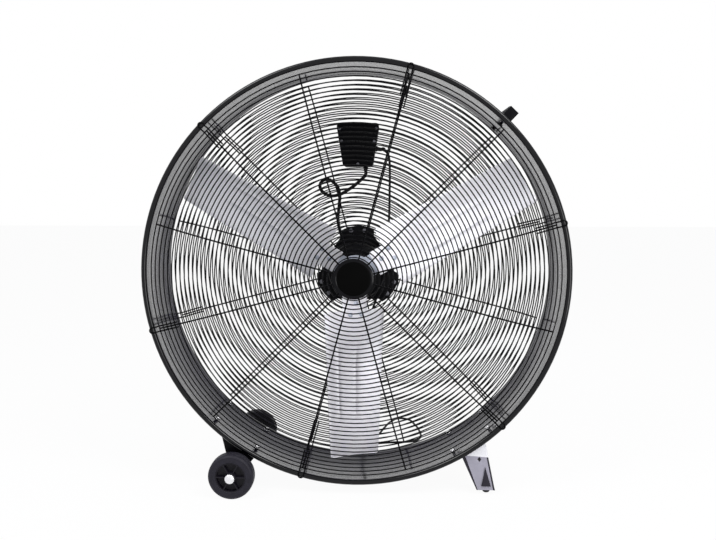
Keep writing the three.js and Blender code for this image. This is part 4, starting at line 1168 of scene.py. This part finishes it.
@dataclass
class Stand:
    """The brackets under the drum, the leg with its feet, the axle and the lifting handle.

    The edges of the leg's face are planes: x and z of a point, then those of the normal. Its waist
    lies between two slanting lines: their x at the leg's bottom, and their shift up to its top.
    """

    foot_x: float = 366.0
    foot_depths: Pair = (33.0, 173.0)
    floor: float = -602.0
    screw_height: float = -576.0
    panel_front: float = 14.0
    panel_rear: float = 192.0
    middle: float = 103.0
    rib_rise: float = 1.5
    # fold_edge bounds the painted highlight; left_edge and right_edge bound strips of painted
    # shade.
    fold_edge: tuple[Pair, Pair] = ((366.0, -496.0), (0.07, 1.0))
    left_edge: tuple[Pair, Pair] = ((341.0, -590.0), (-124.0, -46.0))
    right_edge: tuple[Pair, Pair] = ((383.0, -590.0), (181.0, 38.0))
    face_on: float = 0.9
    leg_bottom: float = -590.0
    leg_height: float = 124.0
    waist_left: Pair = (338.0, -69.5)
    waist_right: Pair = (388.0, -39.0)
    waist_zone: Pair = (-0.2, 1.3)
    waist_depth: float = 14.0
    saddle: Pair = (566.0, 572.0)
    first_row: float = -578.0
    row_height: float = 9.0
    rows: int = 13
    handle_angle: float = 46.5
    grip_radius: float = 604.0
    grip_front: float = 40.0
    grip_size: Triple = (15.0, 126.0, 31.0)
    grip_rows: int = 42
    grip_end: float = 9.0
    ridge: float = 18.0
    squeeze: float = 0.045

    def build(self) -> None:
        """Make every piece of the stand."""
        self.leg()
        carry("axle_bracket", "axle_cradle", "frame", BRACKET_BLACK, 0.9)
        carry("axle", "axle_rod", "frame", STEEL, 0.8)
        screw = [(0, -2.2), (2.4, -2.0), (3.8, -1.2), (4.4, 0.0), (4.4, 0.3), (0, 0.3)]
        spot = (self.foot_x, self.panel_front, self.screw_height)
        fit(Bench.spun("foot_screw", screw, 24, spot), "frame", ZINC)
        for depth, side in zip(self.foot_depths, Side, strict=True):
            node = f"foot_{side.value}"
            fit(self.foot(f"{node}_pad", depth), "frame", FOOT_RUBBER, node)
        carry("handle_bar", "handle_strap", "frame", BRACKET_BLACK, 1.2, 3)
        fit(self.grip(), "frame", GRIP_PLASTIC, "handle_grip")

    def leg(self) -> None:
        """Dress the pressed leg: painted highlight above its fold, grey below, painted shade at
        edges and inside.
        """
        leg = Bench.carried("leg_bracket", "pressed_leg", 0.9, 3)
        heights = [self.first_row + self.row_height * i for i in range(self.rows)]
        Bench.divide(leg, [(at(self.foot_x, 0, height), UP) for height in heights])
        for vertex in leg.data.vertices:
            vertex.co.x += self.waist(vertex.co) * MM
        fold, left, right = map(self.plane, (self.fold_edge, self.left_edge, self.right_edge))
        Bench.divide(leg, [fold, left, right])
        fit(leg, "frame", LEG_PAINT, "leg_bracket")
        leg.data.materials.append(LEG_PAINTED_HIGHLIGHT.material())
        leg.data.materials.append(LEG_PAINTED_SHADE.material())
        first, last = self.panel_front - self.rib_rise, self.panel_rear + self.rib_rise
        for face in leg.data.polygons:
            depth = depth_of(face.center)
            on_side = abs(face.normal.y) <= self.face_on
            on_rib = not first <= depth <= last
            inside = (face.normal.y > 0) == (depth < self.middle)
            beyond = any((face.center - spot).dot(way) > 0 for spot, way in (left, right))
            above = (face.center - fold[0]).dot(fold[1]) > 0
            # Painted light: faces above the fold get a painted highlight; sides, rib, inside faces
            # and edge strips below the fold get painted shade.
            coat = LegPaintAndLight.BRIGHT if above else LegPaintAndLight.GREY
            if on_side or on_rib or inside or (beyond and not above):
                coat = LegPaintAndLight.SHADE
            face.material_index = coat.value

    @staticmethod
    def plane(edge: tuple[Pair, Pair]) -> Plane:
        """Return the plane through an edge of the leg's face."""
        (x, z), (across, rise) = edge
        return at(x, 0, z), Vector((across, 0.0, rise)).normalized()

    def waist(self, place: Vector) -> float:
        """Return how far a point of the leg is drawn in on its left, below the saddle.

        Args:
            place: The point in metres.

        Returns:
            Millimetres towards +X.
        """
        x, z = (place.x - FRONT.x) / MM, (place.z - FRONT.z) / MM
        height = (z - self.leg_bottom) / self.leg_height
        left, right = (foot + shift * height for foot, shift in (self.waist_left, self.waist_right))
        share = (right - x) / (right - left)
        low, high = self.waist_zone
        if not (low < share < high and height > 0):
            return 0.0
        below_saddle = smoothstep(math.hypot(x, z), *self.saddle)
        return self.waist_depth * height * share * share * below_saddle

    def foot(self, name: str, depth: float) -> Piece:
        """Make a half-round rubber foot with its neck through the leg's shelf.

        Args:
            name: The piece's name.
            depth: Depth of its middle, behind the front bead.

        Returns:
            The foot.
        """
        section = [(0, 0), (5.5, 0), (7.2, 0.5), (9.2, 2.2), (10.4, 4.4), (11, 7.5), (11, 11.2),
                   (10.5, 11.7), (4, 11.7), (4, 15.3), (6, 15.3), (5.6, 16.6), (3.2, 21), (0, 21.3)]
        piece = Bench.spun(name, section, 48)
        upright = Matrix.Translation(at(self.foot_x, depth, self.floor))
        upright @= Matrix.Rotation(QUARTER, 4, "X")
        piece.data.transform(upright @ Matrix.Translation(-FRONT))
        return piece

    def grip(self) -> Piece:
        """Make the moulded grip round the strap, with shallow finger ridges.

        Returns:
            The grip.
        """
        length = self.grip_size[1]
        piece = Bench.block("finger_grip", (self.grip_radius, self.middle, 0), self.grip_size)
        Bench.soften(piece, 6.0, 5)
        depths = [self.grip_front + length * k / self.grip_rows for k in range(1, self.grip_rows)]
        Bench.divide(piece, [(at(0, depth, 0), Vector((0.0, 1.0, 0.0))) for depth in depths])
        middle = at(self.grip_radius, 0, 0)
        for vertex in piece.data.vertices:
            along = depth_of(vertex.co) - self.grip_front
            if self.grip_end < along < length - self.grip_end:
                turn = 2 * math.pi * (along - self.grip_end) / self.ridge
                share = 1 - self.squeeze * (0.5 - 0.5 * math.cos(turn))
                vertex.co.x = middle.x + (vertex.co.x - middle.x) * share
                vertex.co.z = middle.z + (vertex.co.z - middle.z) * share
        piece.data.transform(face_turn(self.handle_angle))
        return Bench.smooth(piece, 50)


# ---------------------------------------------------------------- switch box


@dataclass
class SwitchBox:
    """The keystone switch box on the rear guard, with its plate, lid, knob and glands."""

    bottom: float = 302.0
    top: float = 428.0
    bottom_width: float = 87.0
    top_width: float = 127.2
    corner: float = 11.0
    corner_steps: int = 6
    front: float = 232.05
    rear: float = 298.05
    plate: float = 225.45
    sheet: float = 3.0
    lid_gap: float = 0.3
    knob_height: float = 360.0
    knob_stem: float = 8.0
    knob_gap: float = 3.8
    plate_screws: tuple[Pair, ...] = ((0.0, 309.0), (-48.0, 375.9), (48.0, 375.9),
                                      (-54.0, 412.0), (54.0, 412.0))
    cover_screws: tuple[Pair, ...] = ((-48.0, 375.9), (48.0, 375.9), (-54.0, 406.0),
                                      (54.0, 406.0))

    def outline(self, depth: float) -> list[Vector]:
        """Return the corners of the rounded keystone at a depth behind the front bead.

        Args:
            depth: Distance behind the front bead.

        Returns:
            The corners in order.
        """
        low, high = self.bottom_width / 2, self.top_width / 2
        corners = [Vector((-low, self.bottom)), Vector((low, self.bottom)),
                   Vector((high, self.top)), Vector((-high, self.top))]
        points = []
        for i, here in enumerate(corners):
            into = (corners[i - 1] - here).normalized()
            away = (corners[(i + 1) % 4] - here).normalized()
            reach = self.corner / math.tan(into.angle(away) / 2)
            start, end = here + into * reach, here + away * reach
            for k in range(self.corner_steps + 1):
                t = k / self.corner_steps
                bow = (1 - t) ** 2 * start + 2 * t * (1 - t) * here + t * t * end
                points.append(at(bow.x, depth, bow.y))
        return points

    def build(self) -> None:
        """Make the box, its plate and lid, the screws, the knob and the glands."""
        lid = self.rear + self.lid_gap
        for name, node, depth, thickness, edge, segments in (
            ("moulded_box", "switch_box", self.front, self.rear - self.front, 0.8, 2),
            ("keystone_plate", "box_plate", self.plate, self.sheet, 1.2, 3),
            ("box_cover", "box_lid", lid, self.sheet, 1.2, 3),
        ):
            slab = Bench.sheet(name, self.outline(depth), BACK * thickness)
            fit(Bench.soften(slab, edge, segments), "frame", BOX_PLASTIC, node)
        plate_head = [(0, -2.4), (2.4, -2.2), (4.2, -1.4), (5, -0.2), (5, 0.2), (0, 0.2)]
        self.heads("plate_screw", plate_head, self.plate_screws, self.plate)
        cover_head = [(0, 2.2), (2.2, 2.0), (3.8, 1.3), (4.5, 0.2), (4.5, -0.2), (0, -0.2)]
        self.heads("cover_screw", cover_head, self.cover_screws, lid + self.sheet)
        fit(self.knob(), "speed_knob", KNOB_PLASTIC, "speed_knob")
        carry("cord_gland", "cord_cable_gland", "frame", BOX_PLASTIC, 0.8)
        carry("lead_gland", "lead_cable_gland", "frame", BOX_PLASTIC, 0.8)

    @staticmethod
    def heads(name: str, section: Sequence[Pair], spots: Sequence[Pair], depth: float) -> None:
        """Make numbered screw heads of one section at spots on a face."""
        for i, (x, z) in enumerate(spots):
            fit(Bench.spun(f"{name}_{i + 1}", section, 24, (x, depth, z)), "frame", DULL_STEEL)

    def knob(self) -> Piece:
        """Make the rotary knob: a skirt with a raised finger bar.

        Returns:
            The knob.
        """
        stem, face = self.rear - self.knob_stem, self.rear + self.knob_gap
        section = [(0, stem), (4, stem), (4, face), (16, face), (17, face + 0.8),
                   (16.6, face + 3), (15, face + 5), (0, face + 5.4)]
        skirt = Bench.spun("skirt", section, 64, (0, 0, self.knob_height))
        bar = Bench.block("finger_bar", (0, face + 9.4, self.knob_height), (6, 11, 27))
        return Bench.joined("switch_knob", [skirt, Bench.soften(bar, 2.2, 4)])


# ---------------------------------------------------------------- cords


@dataclass
class Cords:
    """The ribbed lead from box to motor, and the power cord with its coil and plug."""

    cord_radius: float = 3.5
    lead_radius: float = 5.0
    length: float = 2.62
    lead_length: float = 0.51
    gland_depth: float = 265.05
    gland_rise: float = 54.0
    box_bottom: float = 302.0
    box_half: float = 43.5
    box_slope: float = math.atan2(18.5, 116)
    lying: float = -598.1
    coil_centre: Pair = (-30.0, 296.0)
    coil_radius: float = 46.0
    coil_pitch: float = 7.8
    coil_turns: float = 1.5
    coil_climb: float = 0.5
    points_a_turn: int = 24
    layer: float = 7.6
    tail: float = 36.0

    def power_route(self) -> list[Vector]:
        """Return the points of the power cord from its gland to its coil.

        Returns:
            The points in order.
        """
        low, side = self.lying, self.box_slope
        x = self.box_half + self.gland_rise * math.tan(side)
        z = self.box_bottom + self.gland_rise
        points = [(x + math.cos(side) * out, self.gland_depth, z - math.sin(side) * out)
                  for out in (9.6, 16.6)]
        points += [
            (80.6, 265.5, 348.4), (89, 266, 338.5), (92.8, 267, 322), (94.3, 268, 290),
            (94.2, 269.5, 240), (92.5, 272, 144), (85, 278, 50), (66, 290, -60), (32, 308, -175),
            (10, 330, -300), (2, 358, -420), (6, 390, -520), (17, 412, low + 21),
            (29, 424, low + 8), (42, 438, low + 2), (58, 460, low + 0.3)]
        points += [(x, y, low) for x, y in (
            (80, 530), (105, 599.5), (133, 632.7), (163, 624.7), (188, 568), (203, 490),
            (202, 440), (185, 408), (153, 395), (105, 388), (57, 376), (22, 359), (-4, 346.5),
            (-18, 342))]
        return [at(*point) for point in points]

    def coil(self) -> list[Vector]:
        """Return the points of the coil: in on the lower layer, out on the upper one.

        Returns:
            The points in order.
        """
        turn_back = self.coil_turns + self.coil_climb / 2
        count = int(2 * turn_back * self.points_a_turn) + 1
        points = []
        for i in range(count):
            turns = i / self.points_a_turn
            radius = self.coil_radius - self.coil_pitch * (turn_back - abs(turns - turn_back))
            climbed = (turns - self.coil_turns) / self.coil_climb
            rise = self.layer * min(1.0, max(0.0, climbed))
            x, y = polar(radius, 90 + 360 * turns)
            points.append(at(self.coil_centre[0] + x, self.coil_centre[1] + y, self.lying + rise))
        end = points[-1]
        tail = [end + Vector((self.tail * share, 0, 0)) * MM for share in (0.5, 1.0)]
        return [*points, *tail]

    def lead_route(self) -> list[Vector]:
        """Return the points of the motor's lead.

        Returns:
            The points in order.
        """
        depth = self.gland_depth
        points = [
            (22, depth, 292.4), (22, depth, 280.4), (6, 261, 262), (-30, 257, 234),
            (-62, 253, 218), (-90, 252, 218), (-112, 254, 235), (-113, 258, 254), (-95, 262, 265),
            (-72, 267, 254), (-58, 270, 228), (-58, 270, 190), (-62, 267, 144), (-54, 262, 106),
            (-38, 258, 64), (-26, 254, 32), (-22, 242.05, 18), (-22, 232.05, 18)]
        return [at(*point) for point in points]

    def build(self) -> None:
        points = [*self.power_route(), *self.coil()]
        cord = Bench.path("power_flex", points, self.cord_radius, 10)
        fit(cord, "frame", CORD_PVC, "power_cord", "cord_coil")
        boot = self.boot(points[:3])
        plug = carry("cord_plug", "moulded_plug", "frame", CORD_PVC, 1.2, 3)
        route = self.lead_route()
        lead = Bench.path("motor_flex", route, self.lead_radius, 12)
        fit(lead, "frame", CORD_PVC, "motor_lead")

    def boot(self, points: Sequence[Vector]) -> Piece:
        """Make the tapered strain relief round the first part of the cord.

        Args:
            points: The cord's first three points.

        Returns:
            The boot.
        """
        first, second, third = points
        along = [first, first.lerp(second, 0.5), second,
                 second.lerp(third, 0.35) + Vector((0.0025, 0, 0.004)),
                 second.lerp(third, 0.7) + Vector((0.0018, 0, 0.002))]
        widths = [1.75, 1.65, 1.5, 1.35, 1.15]
        piece = Bench.wire("strain_relief", along, self.cord_radius, 16, widths)
        return fit(Bench.smooth(piece, Bench.drawn), "frame", CORD_PVC)


# ---------------------------------------------------------------- studio


@dataclass
class Studio:
    """The camera, the pale floor and the soft light. Its sizes are metres of the row frame."""

    place: Triple = (0.0929, -1.9579, 0.8277)
    forward: Triple = (-0.0450, 0.9926, -0.1124)
    lens: float = 34.42
    film: float = 36.0
    far: float = 60.0
    sky: tuple[float, ...] = (0.95, 0.96, 1.0, 1.0)
    sky_strength: float = 0.45
    paper: tuple[float, ...] = (0.90, 0.90, 0.91, 1.0)
    paper_white: float = 0.95
    paper_size: float = 30.0
    paper_drop: float = 0.0005

    @staticmethod
    def aim(piece: Piece, way: Vector) -> None:
        """Point a camera or a lamp along a direction."""
        piece.rotation_euler = way.to_track_quat("-Z", "Y").to_euler()

    def camera(self) -> None:
        """Put the camera at the photograph's place."""
        Bench.clear()
        bpy.ops.object.camera_add(location=self.place)
        camera = bpy.context.active_object
        self.aim(camera, Vector(self.forward))
        camera.data.lens = self.lens
        camera.data.sensor_width = self.film
        camera.data.clip_end = self.far
        bpy.context.scene.camera = camera

    @staticmethod
    def white_to_eye(tree: Tree, seen: Node, lit: Node, share: float) -> Socket:
        """Mix a white into what camera, glossy and transmission rays see.

        Args:
            tree: The nodes.
            seen: The shader for those rays.
            lit: The shader for every other ray.
            share: How much of the white shows.

        Returns:
            The mixed shader.
        """
        rays = add_node(tree, "LightPath", {})
        total = rays.outputs["Is Camera Ray"]
        for kind in ("Is Glossy Ray", "Is Transmission Ray"):
            either = add_node(tree, "Math", {0: total, 1: rays.outputs[kind]}, "MAXIMUM")
            total = either.outputs[0]
        part = add_node(tree, "Math", {0: total, 1: share}, "MULTIPLY").outputs[0]
        inputs = {"Fac": part, 1: lit.outputs[0], 2: seen.outputs[0]}
        return add_node(tree, "MixShader", inputs).outputs[0]

    def world(self) -> None:
        """Give the world a soft grey that lights the fan and a white that is seen."""
        world = bpy.data.worlds.new("studio")
        bpy.context.scene.world = world
        world.use_nodes = True
        tree = world.node_tree
        tree.nodes.clear()
        seen = add_node(tree, "Background", {"Color": WHITE, "Strength": 1.0})
        lit = add_node(tree, "Background", {"Color": self.sky, "Strength": self.sky_strength})
        add_node(tree, "OutputWorld", {"Surface": self.white_to_eye(tree, seen, lit, 1.0)})

    def floor(self) -> None:
        """Lay a wide white floor that keeps the fan's shadow."""
        Bench.clear()
        bpy.ops.mesh.primitive_plane_add(size=self.paper_size, location=(0, 0, -self.paper_drop))
        floor = Bench.named("studio_floor")
        material = bpy.data.materials.new("white_floor")
        material.use_nodes = True
        tree = material.node_tree
        tree.nodes.clear()
        matt = add_node(tree, "BsdfDiffuse", {"Color": self.paper})
        glow = add_node(tree, "Emission", {"Color": WHITE})
        surface = self.white_to_eye(tree, glow, matt, self.paper_white)
        add_node(tree, "OutputMaterial", {"Surface": surface})
        floor.data.materials.append(material)

    def lamp(self, name: str, place: Triple, target: Triple, size: float, power: float) -> None:
        """Hang one square softbox.

        Args:
            name: The lamp's name.
            place: Where it hangs.
            target: What it points at.
            size: Side of the square in metres.
            power: Watts.
        """
        Bench.clear()
        bpy.ops.object.light_add(type="AREA", location=place)
        lamp = bpy.context.active_object
        lamp.name = name
        lamp.data.size = size
        lamp.data.energy = power
        self.aim(lamp, Vector(target) - Vector(place))

    def build(self) -> None:
        """Set up everything that isn't part of the fan."""
        bpy.context.scene.view_settings.view_transform = "Standard"
        self.camera()
        self.world()
        self.floor()
        self.lamp("softbox_right", (1.7, -1.6, 3.0), (0, 0, 0.6), 1.3, 62)
        self.lamp("softbox_left", (-1.6, -1.6, 3.0), (0, 0, 0.6), 1.3, 50)
        self.lamp("softbox_low", (1.5, -2.2, 0.5), (0.2, 0, 0.5), 0.9, 16)


def main() -> None:
    """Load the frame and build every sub-assembly in order."""
    logging.basicConfig(level=logging.INFO, format="%(message)s")
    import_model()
    Studio().build()
    Cords().build()
    Drum().build()
    front = WireGuard("front_guard_wires", "front_guard", plane=0.0, way=-1.0, first=57.0,
                      rings=42, dish=27.0, slope=218.0, spoke_start=34.0)
    rear = WireGuard("rear_guard_wires", "rear_guard", plane=206.0, way=1.0, first=95.0,
                     rings=39, dish=24.0, slope=108.0, spoke_start=92.0)
    front.build()
    rear.build()
    GuardClips(front, rear).build()
    guard_plate()
    Rotor().build()
    Motor().build()
    Wheel(Side.FRONT, -36.0).build()
    Wheel(Side.REAR, 336.0).build()
    Stand().build()
    SwitchBox().build()
    Bench.clear()


if __name__ == "__main__":
    main()
